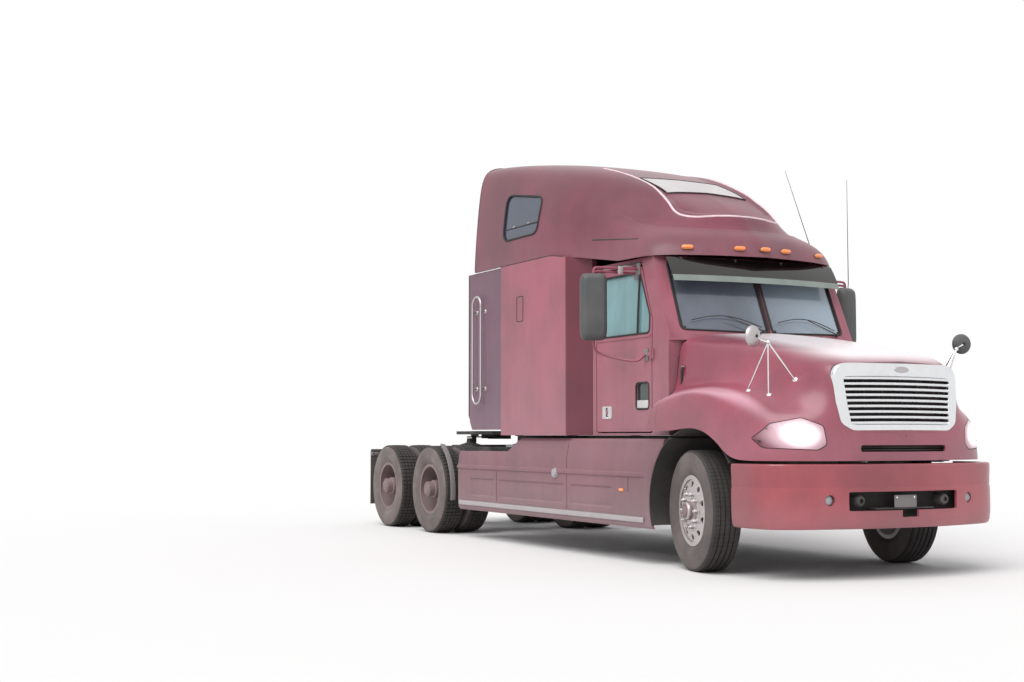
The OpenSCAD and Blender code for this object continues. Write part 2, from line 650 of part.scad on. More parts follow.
module fairing_outline() polygon(concat(
    [for (a = [-21:6:54]) [front_axle + arch_r * cos(a), arch_z + arch_r * sin(a)]],
    [[front_axle + sqrt(arch_r * arch_r - pow(fairing_top - arch_z, 2)), fairing_top], [sleeper_back - 380, fairing_top], [sleeper_back - 120, fairing_low_top],
        [fairing_back - 60, fairing_low_top], [fairing_back + 10, fairing_low_top - 160], [fairing_back, fairing_z + 60],
        [fairing_back - 40, fairing_z]]));

recess = [[2520, 470], [5640, 745]];

module fairing(side) color("rosybrown") mirror([side < 0 ? 1 : 0, 0, 0]) {
    difference() {
        union() {
            along_x(fairing_x - fairing_t, fairing_x) fairing_outline();
            block([fairing_x - 5, front_axle + 720, crease_z], [fairing_x + 14, fairing_back - 40, crease_z + 22]);
            block([fairing_x - 40, front_axle + 690, fairing_z + 6], [fairing_x + 6, fairing_back - 50, fairing_z + 95]);
            block([fairing_x - 280, max(sleeper_back - 100, tank_y1 + 10), fairing_low_top - 18], [fairing_x - 2, fairing_back - 64, fairing_low_top - 2]);
        }
        along_x(fairing_x - 12, fairing_x + 20) rounded([recess[0][0], recess[0][1]], [recess[1][0], recess[1][1]], 40);
    }
    for (y = [2150, 2950, 4900, 5800]) block([rail_x + seat, y, rail_bottom + 60], [fairing_x - fairing_t + 1, y + 50, rail_bottom + 100]);
}

// Cab

side_mid = (floor_z + cab_top) / 2;
function side_drop(z) = tumblehome * pow(max(z - side_mid + 250, 0) / (cab_top - side_mid + 250), 2);

// Band of a barrel-sided wall between two heights, as an outline in x and z
module side_band(x, z0, z1, t, drop) {
    n = 10;
    zs = [for (i = [0:n]) z0 + (z1 - z0) * i / n];
    polygon(concat([for (z = zs) [x - drop * side_drop(z) / tumblehome, z]],
        [for (i = [n:-1:0]) [x - t - drop * side_drop(zs[i]) / tumblehome, zs[i]]]));
}

screen_y = 1678;         // glass's foot on the middle line
screen_z = 2060;
screen_sweep = 120;      // how far the glass sweeps back at its sides
screen_rake = 0.42;
screen_x = 1000;

// The windscreen's surface, moved by d along y
function screen_at(x, z, d) = [x, screen_y + d + screen_sweep * pow(x / screen_x, 2) + screen_rake * (z - screen_z), z];

// A closed sheet of thickness t, drawn back along y from a lower and an upper row of points
module sheet_of(low, high, t) {
    m = len(low);
    n = m - 1;
    points = concat(low, high, [for (p = low) p + [0, t, 0]], [for (p = high) p + [0, t, 0]]);
    quads = concat(
        [for (i = [0:n - 1]) [i, i + 1, m + i + 1, m + i]],
        [for (i = [0:n - 1]) [2 * m + i, 3 * m + i, 3 * m + i + 1, 2 * m + i + 1]],
        [for (i = [0:n - 1]) [i, 2 * m + i, 2 * m + i + 1, i + 1]],
        [for (i = [0:n - 1]) [m + i, m + i + 1, 3 * m + i + 1, 3 * m + i]],
        [[0, m, 3 * m, 2 * m], [n, 2 * m + n, 3 * m + n, m + n]]);
    polyhedron(points, [for (q = quads) each [[q[0], q[2], q[1]], [q[0], q[3], q[2]]]]);
}

module screen_slab(x, z0, z1, d, t) sheet_of(
    [for (i = [0:12]) screen_at(-x + x * i / 6, z0, d)],
    [for (i = [0:12]) screen_at(-x + x * i / 6, z1, d)], t);

glass_z0 = screen_z + 35;
glass_z1 = cab_top - 40;

// Outline of one pane seen from the front, inset by d
module pane_outline(d) offset(delta = -d) soft_outline([[14, glass_z0 - 14], [screen_x - 90, glass_z0 + 6],
    [screen_x - 105, glass_z1 - 30], [screen_x - 135, glass_z1], [14, glass_z1]], 40);

module windscreen_parts() color("slategray", 0.5) intersection() {
    screen_slab(screen_x, screen_z, cab_top, 14, 8);
    along_y(1400, 2600) both_sides() pane_outline(seat);
}

module door_outline(d) soft_outline([[door_front + d, floor_z + 20 + d], [door_front + d, 2210], [door_front + 230 + d, cab_top - 60 - d],
    [door_back - d, cab_top - 60 - d], [door_back - d, floor_z + 20 + d]], 30);

hinge_zs = [1330, 1880];
hinge_x = cab_x + 16;
hinge_y = door_front + 4;

module cab_parts() color("indianred") {
    difference() {
        union() {
            both_sides() difference() {
                along_y(cowl_y, cab_back) side_band(cab_x, floor_z, cab_top, wall, tumblehome);
                along_y(cowl_y - 1, 2600) polygon([[0, screen_z], [0, 3000], [1, 3000], [1, screen_z]]);
                along_x(0, cab_x + 10) polygon([[cowl_y - 1, screen_z - 40], [screen_at(cab_x, screen_z - 40, 0)[1], screen_z - 40],
                    [screen_at(cab_x, 3000, 0)[1], 3000], [cowl_y - 1, 3000]]);
            }
            difference() {
                intersection() {
                    screen_slab(cab_x, screen_z - 60, cab_top, 0, wall);
                    along_y(1400, 2600) both_sides() polygon(concat([[-1, screen_z - 60]],
                        [for (i = [0:8]) let (z = screen_z - 60 + i * (cab_top - screen_z + 60) / 8) [cab_x - side_drop(z) - 1, z]], [[-1, cab_top]]));
                }
                along_y(1400, 2600) both_sides() pane_outline(0);
            }
            block([-cab_x + 10, cowl_y, floor_z], [cab_x - 10, cowl_y + wall, screen_z - 30]);
            screen_slab(cab_x - 60, screen_z - 60, screen_z - 20, 30, 130);
        }
        both_sides() along_x(cab_x - 200, cab_x + 20) door_outline(0);
    }
    both_sides() for (z = hinge_zs) {
        for (k = [-36, 26]) translate([hinge_x, hinge_y, z + k]) cylinder(h = 24, r = 11);
        translate([hinge_x, hinge_y, z - 34]) cylinder(h = 80, r = 6);
        block([cab_x - 20, hinge_y - 40, z - 36], [hinge_x, hinge_y - 12.5, z + 50]);
        for (k = [-36, 26]) block([hinge_x - 8, hinge_y - 20, z + k], [hinge_x + 6, hinge_y, z + k + 24]);
    }
}

module cab_floor_parts() color("dimgray") {
    side = [[cab_x - wall - seat, cowl_y + wall + seat], [cab_x - wall - seat, cab_back + 60],
        [sleeper_x - wall - seat - 1, sleeper_front + 12], [sleeper_x - wall - seat - 1, sleeper_back - wall - seat]];
    translate([0, 0, floor_z]) linear_extrude(40) polygon(concat(side, [for (q = flipped(side)) [-q[0], q[1]]]));
}

// Outline of the sleeper's side: its top edge climbs from the cab's to the sleeper's own height
module sleeper_side_outline() polygon([[cab_back - 40, floor_z], [sleeper_back + 1, floor_z], [sleeper_back + 1, sleeper_top],
    [seam_y1, sleeper_top], [cab_back - 40, seam_z(cab_back - 40)]]);

module sleeper_parts() color("indianred") {
    both_sides() intersection() {
        translate([0, 0, floor_z]) linear_extrude(sleeper_top - floor_z) polygon([[cab_x - wall, cab_back + seat], [cab_x, cab_back + seat],
            [cab_x + 20, cab_back + 40], [sleeper_x - 16, sleeper_front - 50], [sleeper_x, sleeper_front],
            [sleeper_x, sleeper_back], [sleeper_x - wall, sleeper_back], [sleeper_x - wall, sleeper_front + 10],
            [cab_x - wall, cab_back + 60]]);
        along_x(cab_x - 200, sleeper_x + 10) sleeper_side_outline();
    }
    block([-sleeper_x + 10, sleeper_back - wall, floor_z], [sleeper_x - 10, sleeper_back, sleeper_top]);
    along_y(sleeper_back - wall, sleeper_back) polygon(concat([[sleeper_x - wall, sleeper_top - 20]], roof_section,
        [for (q = flipped(roof_section)) [-q[0], q[1]]], [[wall - sleeper_x, sleeper_top - 20]]));
}

// Roof

edge_z = cab_top + seat;
crown = roof_top;
seam_y0 = 2600;
seam_y1 = 3700;
trim = 45;               // how far the roof's net runs past its lower edge, to be cut off

// Height of the sides' top edge at y
function seam_z(y) = cab_top + (sleeper_top - cab_top) * min(max((y - seam_y0) / (seam_y1 - seam_y0), 0), 1);

roof_back = 5480;

roof_net = [
    [[sleeper_x + 6, roof_back, sleeper_top - trim], [sleeper_x - 6, roof_back, 3200], [sleeper_x - 24, roof_back - 10, 3500],
        [sleeper_x - 44, roof_back - 30, 3800], [1136, roof_back - 50, crown - 110], [1015, roof_back - 60, crown - 4],
        [700, roof_back - 70, crown - 6], [350, roof_back - 75, crown], [0, roof_back - 75, crown]],
    [[sleeper_x + 2, 4950, sleeper_top - trim], [sleeper_x - 4, 4950, 3190], [sleeper_x - 22, 4945, 3480],
        [sleeper_x - 46, 4940, 3760], [1130, 4930, crown - 160], [1000, 4920, crown - 56],
        [700, 4910, crown - 38], [350, 4910, crown - 22], [0, 4910, crown - 18]],
    [[sleeper_x, 4250, sleeper_top - trim], [sleeper_x - 2, 4250, 3170], [sleeper_x - 20, 4240, 3440],
        [sleeper_x - 58, 4230, 3690], [1060, 4210, 3890], [890, 4190, 3985], [600, 4160, 4014], [300, 4150, 4024], [0, 4150, 4028]],
    [[sleeper_x - 4, 3680, sleeper_top - trim], [sleeper_x - 6, 3660, 3130], [sleeper_x - 24, 3640, 3340],
        [1135, 3610, 3550], [1030, 3560, 3710], [895, 3520, 3822], [640, 3470, 3858], [300, 3450, 3862], [0, 3440, 3862]],
    [[1140, 3200, seam_z(3200) - trim], [1145, 3180, 2970], [1135, 3150, 3120], [1075, 3100, 3280], [940, 3050, 3410],
        [815, 3010, 3530], [650, 2970, 3662], [300, 2940, 3668], [0, 2930, 3670]],
    [[1080, 2640, edge_z - trim], [1082, 2630, 2890], [1060, 2610, 3000], [1000, 2620, 3100], [860, 2680, 3215],
        [755, 2700, 3370], [600, 2640, 3508], [300, 2590, 3512], [0, 2570, 3514]],
    [[1090, 2170, edge_z - trim], [1068, 2210, 2870], [1010, 2260, 2965], [920, 2330, 3050], [790, 2420, 3125],
        [690, 2470, 3250], [545, 2400, 3368], [280, 2350, 3374], [0, 2330, 3376]],
    [[985, 1985, edge_z - trim], [960, 2020, 2865], [890, 2070, 2960], [790, 2150, 3035], [660, 2230, 3095],
        [560, 2270, 3215], [450, 2250, 3288], [250, 2235, 3300], [0, 2225, 3303]],
    [[560, 1810, edge_z - trim], [545, 1838, 2860], [510, 1895, 2955], [450, 1970, 3022], [385, 2060, 3078],
        [325, 2115, 3195], [260, 2140, 3240], [150, 2152, 3252], [0, 2155, 3255]],
    [[0, 1740, edge_z - trim], [0, 1765, 2858], [0, 1828, 2952], [0, 1905, 3018], [0, 1995, 3072],
        [0, 2062, 3190], [0, 2085, 3215], [0, 2105, 3226], [0, 2125, 3236]]];

roof_t = 28;
roof_skin = surface_of(roof_net, 2, 3);

// Where a line of points running forwards passes a given y
function at_y(line, y) = let (i = [for (k = [0:len(line) - 2]) if (line[k][1] >= y && line[k + 1][1] < y) k][0],
    a = line[i], b = line[i + 1]) a + (b - a) * (y - a[1]) / (b[1] - a[1]);

roof_lining = inner_of(roof_skin, roof_t + 2);
roof_section = [for (line = roof_lining) let (p = at_y(line, sleeper_back - wall)) if (p[2] > sleeper_top - 10) [p[0], p[2]]];

side_window = [[3965, 3240], [4770, 3235], [4760, 3640], [4620, 3715], [4020, 3600]];

module roof_half() moulding(roof_skin, roof_t);

module roof_parts() color("indianred") difference() {
    both_sides() roof_half();
    along_x(-sleeper_x - 50, sleeper_x + 50) polygon([[1500, edge_z - 300], [1500, edge_z], [seam_y0, edge_z],
        [seam_y1, sleeper_top + seat], [roof_back + 50, sleeper_top + seat], [roof_back + 50, edge_z - 300]]);
    both_sides() along_x(900, 1400) soft_outline(side_window, 60);
}

module sleeper_window_parts() color("slategray", 0.6) both_sides() intersection() {
    moulding(roof_skin, roof_t - 10);
    along_x(900, 1400) offset(delta = -seat) soft_outline(side_window, 60);
}

visor_x = 940;
visor_z0 = edge_z - 175;
visor_z1 = edge_z - 20;

// Dark visor under the brow
module sun_visor_parts() color("dimgray") {
    sheet_of([for (i = [-6:6]) screen_at(visor_x * i / 6, visor_z0, -130)],
        [for (i = [-6:6]) screen_at(visor_x * i / 6, visor_z1, -100)], 8);
    both_sides() for (x = [250, 800]) block([x, screen_at(x, edge_z, -104)[1], edge_z - 38],
        [x + 20, screen_at(x, edge_z - 38, -seat)[1], edge_z - 22]);
}

lamp_size = [110, 36, 34];
lamp_places = [[2, 21.2], [2, 25.83], [2, 27]];  // where on the roof's skin, from the side to the middle line

// Normal of the roof at a place on one of its rows
function lamp_normal(place) = let (i = place[0], j = floor(place[1]), b = j == place[1] ? j - 1 : j,
    n = unit(cross(roof_skin[i + 1][j] - roof_skin[i - 1][j], roof_skin[i][ceil(place[1])] - roof_skin[i][b])))
    roof_skin[i][j][0] < 1 ? unit([0, n[1], n[2]]) : n;

module roof_lamp(place) let (p = on_skin(roof_skin, place), n = lamp_normal(place))
    translate(p + (lamp_size[1] / 2 + seat) * n) rotate([-asin(n[2]), 0, atan2(n[0], -n[1])]) cube(lamp_size, center = true);

module roof_lamp_parts() color("orange") {
    both_sides() for (k = [0, 1]) roof_lamp(lamp_places[k]);
    roof_lamp(lamp_places[2]);
}

// Extenders and rails behind the sleeper

ext_back = 5630;

module side_extender_parts() color("rosybrown") both_sides() {
    along_x(sleeper_x - 34, sleeper_x - 10) polygon([[sleeper_back + seat, floor_z + 60], [ext_back - 60, floor_z + 60], [ext_back, floor_z + 150],
        [ext_back, sleeper_top - 10], [sleeper_back + seat, sleeper_top - 10]]);
    along_x(sleeper_x - 34, sleeper_x - 18) polygon([[ext_back + seat, floor_z + 150], [ext_back + 55, floor_z + 220], [ext_back + 55, sleeper_top - 10],
        [ext_back + seat, sleeper_top - 10]]);
    for (z = [floor_z + 300, sleeper_top - 300]) tube([[sleeper_x - 44, sleeper_back + seat, z], [sleeper_x - 44, ext_back - 150, z]], 12);
}

rail_y = 5340;
rail_z0 = 1600;
rail_z1 = 2570;
rail_bend = 105;

// Long grab rails on four feet, standing off the extenders
module grab_rail_parts() color("silver") both_sides() translate([sleeper_x + 45, rail_y, 0]) {
    for (y = [-rail_bend, rail_bend]) translate([0, y, rail_z0 - 1]) cylinder(h = rail_z1 - rail_z0 + 2, r = 12.5);
    for (e = [0, 1]) translate([0, 0, e == 0 ? rail_z0 : rail_z1]) rotate([e == 0 ? 180 : 0, 0, 0]) rotate([0, 90, 0])
        rotate([0, 0, 90]) rotate_extrude(angle = 180) translate([rail_bend, 0]) circle(r = 13);
    for (y = [-rail_bend, rail_bend], z = [rail_z0 + 60, rail_z1 - 60]) rod_x(-55 + seat, -5, y, z, 10);
}

// Interior

module dashboard_parts() color("dimgray") {
    along_x(-cab_x + wall + 40, cab_x - wall - 40) polygon([[cowl_y + wall + seat, 1500], [cowl_y + wall + seat, 1960], [cowl_y + 120, 1990],
        [cowl_y + 330, 1960], [cowl_y + 400, 1850], [cowl_y + 330, 1640], [cowl_y + 200, 1500]]);
    bar([500, cowl_y + 330, 1700], [500, cowl_y + 560, 1905], 24);
    translate([500, cowl_y + 560, 1905]) rotate([-48, 0, 0]) {
        rotate_extrude() translate([215, 0]) circle(r = 16, $fn = 24);
        cylinder(h = 40, r = 60, center = true);
        for (a = [0, 120, 240]) rotate([0, 0, a + 90]) block([30, -14, -8], [212, 14, 8]);
    }
}

module seat_shape(x) {
    top = floor_z + 40;
    block([x - 160, 2600, top + seat], [x + 160, 2960, top + 230]);
    hull() for (a = [[-230, 2510], [230, 2510], [-230, 3000], [230, 3000]]) translate([x + a[0], a[1], top + 225])
        cylinder(h = 150, r = 30, $fn = 24);
    hull() for (a = [-210, 210]) {
        translate([x + a, 2965, top + 340]) sphere(r = 45, $fn = 16);
        translate([x + a * 0.75, 3080, top + 1010]) sphere(r = 45, $fn = 16);
    }
}

module seat_parts() color("gray") {
    seat_shape(-500);
    seat_shape(500);
    block([-sleeper_x + wall + 20, 3950, floor_z + 40 + seat], [sleeper_x - wall - 20, sleeper_back - wall - 10, floor_z + 560]);
}

// Hood

fender_x = half_w - 16;

hood_net = [
    [[fender_x - 14, 1925, 1190], [fender_x - 10, 1915, 1270], [1170, 1865, 1390], [1080, 1810, 1470], [990, 1775, 1540],
        [965, 1765, 1720], [945, 1760, 1930], [890, 1745, 2035], [500, 1650, 2062], [0, 1610, 2075]],
    [[fender_x, 1690, 1185], [fender_x + 4, 1685, 1290], [1185, 1660, 1430], [1100, 1630, 1510], [985, 1600, 1560],
        [945, 1590, 1740], [922, 1585, 1920], [865, 1570, 2018], [480, 1480, 2045], [0, 1440, 2058]],
    [[fender_x, 1460, 1195], [fender_x + 4, 1460, 1325], [1192, 1440, 1470], [1110, 1420, 1540], [975, 1390, 1575],
        [915, 1370, 1745], [890, 1365, 1895], [835, 1350, 1990], [460, 1270, 2018], [0, 1235, 2030]],
    [[fender_x, front_axle, arch_z + arch_r], [fender_x + 4, 1240, 1345], [1192, 1225, 1488], [1110, 1200, 1548], [960, 1160, 1582],
        [885, 1130, 1735], [855, 1125, 1860], [800, 1110, 1952], [440, 1040, 1980], [0, 1005, 1992]],
    [[fender_x, 1020, 1190], [fender_x + 4, 1020, 1325], [1190, 1000, 1470], [1105, 970, 1532], [930, 920, 1575],
        [845, 890, 1715], [812, 880, 1822], [755, 865, 1910], [420, 790, 1938], [0, 750, 1950]],
    [[fender_x, 810, 1075], [fender_x + 2, 810, 1235], [1178, 780, 1405], [1085, 730, 1482], [895, 645, 1545],
        [798, 620, 1685], [762, 610, 1780], [705, 600, 1865], [400, 540, 1894], [0, 505, 1905]],
    [[fender_x - 4, 665, hood_low], [fender_x - 6, 640, 1120], [1152, 560, 1310], [1048, 480, 1400], [855, 395, 1465],
        [750, 375, 1630], [712, 368, 1730], [655, 355, 1822], [380, 300, 1852], [0, 268, 1863]],
    [[1170, 340, hood_low], [1146, 322, 1080], [1072, 265, 1225], [966, 215, 1315], [798, 178, 1378],
        [712, 180, 1555], [676, 180, 1680], [612, 168, 1780], [362, 120, 1812], [0, 95, 1824]],
    [[960, 105, hood_low], [935, 92, 1055], [870, 70, 1170], [790, 58, 1250], [708, 56, 1328],
        [664, 72, 1500], [652, 92, 1645], [575, 96, 1750], [334, 62, 1778], [0, 42, 1790]],
    [[500, -48, hood_low], [486, -58, 1050], [472, -50, 1140], [530, -26, 1215], [602, 0, 1300],
        [632, 26, 1480], [630, 52, 1645], [550, 50, 1728], [300, 16, 1756], [0, 2, 1766]],
    [[0, -62, hood_low], [0, -78, 1040], [0, -74, 1120], [0, -62, 1196], [490, -44, 1226],
        [604, -8, 1420], [608, 16, 1640], [520, 24, 1712], [285, -4, 1738], [0, -16, 1748]]];

hood_skin = surface_of(hood_net, 2, 2);

module hood_half() moulding(hood_skin, hood_t);

module lamp_outline(d) offset(delta = -d) soft_outline([[720, 1075], [790, 1035], [1120, 1050], [1150, 1130], [1060, 1245], [880, 1290], [740, 1225]], 34);

chin_slot = [[-440, 1020], [440, 1072]];
cowl_gap = 8;

module hood_parts() color("indianred") {
    difference() {
        both_sides() hood_half();
        both_sides() along_y(0, 620) lamp_outline(0);
        along_y(-nose - 40, 200) rounded(chin_slot[0], chin_slot[1], 20);
        block([-2000, -100, hood_low - 200], [2000, 4000, hood_low - 2]);
        block([-cab_x - cowl_gap, cowl_y - cowl_gap, hood_low], [cab_x + cowl_gap, cowl_y + 300, screen_z]);
        screen_slab(cab_x + 60, screen_z - 80, screen_z + 60, -cowl_gap, 300);
        on_grille() along_y(-60, 120) surround_outline(seat);
        both_sides() block([pivot_x - 19, hood_pivot_y - 6, hood_low - 10], [pivot_x + 19, hood_pivot_y + 60, hood_pivot_z + 16]);
    }
    both_sides() {
        liner_arc(64, 146, 640, fender_x - 10);
        difference() {
            along_x(pivot_x + 20, pivot_x + 36) polygon([[hood_pivot_y - 7, hood_pivot_z - 8], [hood_pivot_y + 10, hood_pivot_z - 8],
                [hood_pivot_y + 34, hood_pivot_z + 60], [hood_pivot_y + 44, hood_pivot_z + 210], [hood_pivot_y + 2, hood_pivot_z + 210],
                [hood_pivot_y - 12, hood_pivot_z + 110]]);
            rod_x(pivot_x, pivot_x + 60, hood_pivot_y, hood_pivot_z, pivot_r + run);
        }
    }
}

module headlamp_parts() color("white") both_sides() intersection() {
    moulding(hood_skin, hood_t + 12);
    along_y(0, 620) lamp_outline(seat);
}

bars = 9;
grille_z0 = 1240;
grille_z1 = 1622;
grille_y = -66;          // surround's face on the middle line at its foot
grille_rake = 4.5;       // how far the grille leans back

function bow(x) = 66 * pow(x / 620, 2);

module on_grille() translate([0, grille_y, 1190]) rotate([-grille_rake, 0, 0]) translate([0, 0, -1190]) children();

// The surround seen from the front, grown by d
module surround_outline(d) offset(delta = d) soft_outline([[-500, 1190], [500, 1190], [598, 1250], [632, 1420], [640, 1640],
    [612, 1712], [540, 1734], [-540, 1734], [-612, 1712], [-640, 1640], [-632, 1420], [-598, 1250]], 30);

// Bright surround with horizontal bars, bowed in plan
module grille_parts() color("silver") on_grille() {
    difference() {
        intersection() {
            along_y(-60, 200) surround_outline(0);
            translate([0, 0, 1150]) linear_extrude(650) polygon(concat([for (i = [-8:8]) [i * 85, bow(i * 85)]],
                [for (i = [8:-1:-8]) [i * 85, bow(i * 85) + 42]]));
        }
        along_y(-60, 200) soft_outline([[-505, grille_z0], [505, grille_z0], [552, grille_z1], [-552, grille_z1]], 24);
    }
    for (i = [0:bars - 1]) let (z = grille_z0 + 12 + i * (grille_z1 - grille_z0 - 24) / (bars - 1))
        translate([0, 0, z - 7]) linear_extrude(14) polygon(concat([for (k = [-8:8]) [k * 70, bow(k * 70) + 10]],
            [for (k = [8:-1:-8]) [k * 70, bow(k * 70) + 34]]));
}

mirror_disc = [1113, 441, 1946];
mirror_apex = [1005, 398, 1896];
mirror_legs = [[7, 10], [7.65, 11], [10, 12]];  // feet, as places on the hood's skin
foot_r = 16;

// Round mirrors on three-legged stands
module hood_mirror_parts() color("silver") both_sides() {
    translate(mirror_disc) rotate([90, 0, 14]) rotate_extrude($fn = 48) polygon([[0, -34], [20, -34], [50, -24], [72, -4], [78, 8],
        [74, 14], [0, 16]]);
    bar(mirror_apex, mirror_disc + [0, 20, 0], 7);
    translate(mirror_apex) sphere(r = 15, $fn = 32);
    for (leg = mirror_legs) let (q = on_skin(hood_skin, leg) + (foot_r + 0.8) * normal_at(hood_skin, round(leg[0]), round(leg[1]))) {
        bar(mirror_apex, q, 6);
        translate(q) sphere(r = foot_r, $fn = 32);
    }
}

// Doors

peeper = [[2120, 1390], [2340, 1630]];

module window_outline(d) offset(delta = -d) soft_outline([[2115, 2085], [door_back - 60, 2085], [door_back - 60, 2655], [2318, 2655], [2115, 2250]], 40);

module door(side) color("indianred") mirror([side < 0 ? 1 : 0, 0, 0]) {
    difference() {
        intersection() {
            along_y(door_front, door_back) side_band(cab_x, floor_z, cab_top, wall - 2, tumblehome);
            along_x(cab_x - 200, cab_x + 20) door_outline(door_gap);
        }
        along_x(cab_x - 200, cab_x + 20) window_outline(0);
        if (side < 0) along_x(cab_x - 200, cab_x + 20) rounded(peeper[0], peeper[1], 40);
        block([cab_x - 22, 2790, handle_z - 50], [cab_x + 20, 2930, handle_z + 50]);
    }
    block([cab_x - 23, 2800, handle_z - 14], [cab_x + 4, 2920, handle_z + 14]);
    for (z = hinge_zs) difference() {
        union() {
            translate([hinge_x, hinge_y, z - 11]) cylinder(h = 36, r = 11);
            block([cab_x - 10, hinge_y, z - 11], [hinge_x + 6, door_front + door_gap + 30, z + 25]);
        }
        translate([hinge_x, hinge_y, z - 20]) cylinder(h = 60, r = 6 + run);
    }
}

module door_glass(side) color("slategray", 0.5) mirror([side < 0 ? 1 : 0, 0, 0]) {
    intersection() {
        translate([-20, 0, 0]) along_y(door_front, door_back) side_band(cab_x, floor_z, cab_top, 8, tumblehome);
        along_x(cab_x - 200, cab_x + 20) window_outline(seat);
    }
    if (side < 0) intersection() {
        translate([-20, 0, 0]) along_y(door_front, door_back) side_band(cab_x, floor_z, cab_top, 8, tumblehome);
        along_x(cab_x - 200, cab_x + 20) offset(delta = -seat) rounded(peeper[0], peeper[1], 40);
    }
}

mirror_c = [1465, 2400, 2290];
mirror_turn = 20;
mirror_feet = [[2340, 2690, 2680, 2570], [2150, 1900, 1930, 2010]];  // y and z of the foot, z of the bend and of the housing

// Tall mirror on its arms, with the aerial on top
module door_mirror(side) color("dimgray") mirror([side < 0 ? 1 : 0, 0, 0]) {
    translate(mirror_c) rotate([0, 0, mirror_turn]) hull() {
        for (x = [-105, 105], z = [-265, 265]) {
            translate([x, -30, z]) rotate([-90, 0, 0]) cylinder(h = 60, r = 30, $fn = 24);
            translate([x * 0.8, -60, z * 0.9]) rotate([-90, 0, 0]) cylinder(h = 10, r = 30, $fn = 24);
        }
    }
    for (a = mirror_feet) let (x = cab_x - side_drop(a[1] - 24) + seat) {
        tube([[x + 8, a[0], a[1]], [x + 120, a[0] + 10, a[1]], [mirror_c[0], mirror_c[1], a[2]], [mirror_c[0], mirror_c[1], a[3]]], 12);
        rod_x(x, x + 12, a[0], a[1], 24);
    }
    if (side > 0) translate([mirror_c[0] + 40, mirror_c[1], 2560]) cylinder(h = 1180, r = 4, $fn = 16);
}

// Assembly

module station() translate([0, (nose - overall_len) / 2, 0]) children();

station() frame_parts();  // frame
station() front_axle_parts();  // front_axle
station() drive_axle_parts();  // drive_axles
station() rear_suspension_parts();  // rear_suspension
station() powertrain_parts();  // powertrain
station() radiator_parts();  // radiator
station() fuel_tank_parts();  // fuel_tanks
station() air_tank_parts();  // air_tanks
station() exhaust_parts();  // exhaust
station() deck_plate_parts();  // deck_plate
station() mud_flap_parts();  // mud_flaps
station() tail_lamp_parts();  // tail_lamps
station() fifth_wheel_base_parts();  // fifth_wheel_base
station() fifth_wheel_parts();  // fifth_wheel
station() bumper_parts();  // bumper
station() bumper_lamp_parts();  // bumper_lamps
station() wheel_liner_parts();  // wheel_liners
station() fairing(-1);  // fairing_right
station() fairing(1);  // fairing_left
station() cab_parts();  // cab
station() cab_floor_parts();  // cab_floor
station() sleeper_parts();  // sleeper
station() roof_parts();  // roof_cap
station() windscreen_parts();  // windscreen
station() sleeper_window_parts();  // sleeper_windows
station() sun_visor_parts();  // sun_visor
station() roof_lamp_parts();  // roof_lamps
station() side_extender_parts();  // side_extenders
station() grab_rail_parts();  // grab_rails
station() dashboard_parts();  // dashboard
station() seat_parts();  // seats
station() hood_parts();  // hood
station() grille_parts();  // grille
station() headlamp_parts();  // headlamps
station() hood_mirror_parts();  // hood_mirrors
station() door(-1);  // door_right
station() door_glass(-1);  // door_glass_right
station() door_mirror(-1);  // mirror_right
station() door(1);  // door_left
station() door_glass(1);  // door_glass_left
station() door_mirror(1);  // mirror_left
station() knuckle(-1);  // knuckle_right
station() knuckle(1);  // knuckle_left
station() steer_tyre(-1);  // steer_tyre_right
station() steer_rim_of(-1);  // steer_rim_right
station() steer_tyre(1);  // steer_tyre_left
station() steer_rim_of(1);  // steer_rim_left
station() drive_tyres(-1, drive_front);  // drive_tyres_fr
station() drive_rims(-1, drive_front);  // drive_rims_fr
station() drive_tyres(1, drive_front);  // drive_tyres_fl
station() drive_rims(1, drive_front);  // drive_rims_fl
station() drive_tyres(-1, drive_back);  // drive_tyres_rr
station() drive_rims(-1, drive_back);  // drive_rims_rr
station() drive_tyres(1, drive_back);  // drive_tyres_rl
station() drive_rims(1, drive_back);  // drive_rims_rl
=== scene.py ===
import math
import bpy
import bmesh
import numpy as np
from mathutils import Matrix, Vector
from mathutils.bvhtree import BVHTree


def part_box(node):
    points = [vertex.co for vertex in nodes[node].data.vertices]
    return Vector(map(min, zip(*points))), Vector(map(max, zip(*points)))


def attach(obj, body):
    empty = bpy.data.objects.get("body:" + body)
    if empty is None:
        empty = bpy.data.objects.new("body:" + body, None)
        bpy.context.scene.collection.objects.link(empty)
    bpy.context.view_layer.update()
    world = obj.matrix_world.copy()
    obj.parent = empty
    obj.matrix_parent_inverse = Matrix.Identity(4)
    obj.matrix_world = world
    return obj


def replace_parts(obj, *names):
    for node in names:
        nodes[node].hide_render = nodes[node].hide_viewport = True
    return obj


# Road tractor with a raised-roof sleeper: materials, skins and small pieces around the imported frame.
# Inside the functions s runs back from the bumper's bends, in metres; station() turns it into the frame's y.

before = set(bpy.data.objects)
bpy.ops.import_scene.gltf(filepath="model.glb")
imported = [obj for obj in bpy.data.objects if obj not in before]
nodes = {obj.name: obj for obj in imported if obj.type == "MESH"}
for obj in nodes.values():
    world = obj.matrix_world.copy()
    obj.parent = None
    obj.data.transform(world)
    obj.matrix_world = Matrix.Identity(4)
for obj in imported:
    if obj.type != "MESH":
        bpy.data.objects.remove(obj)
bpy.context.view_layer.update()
noseS = -0.082                       # the bumper's foremost point, in s
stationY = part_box("bumper")[0].y - noseS


def station(point):
    return (point[0], point[1] + stationY, point[2])


def unstation(point):
    return Vector((point[0], point[1] - stationY, point[2]))


# Camera at the photograph's angle

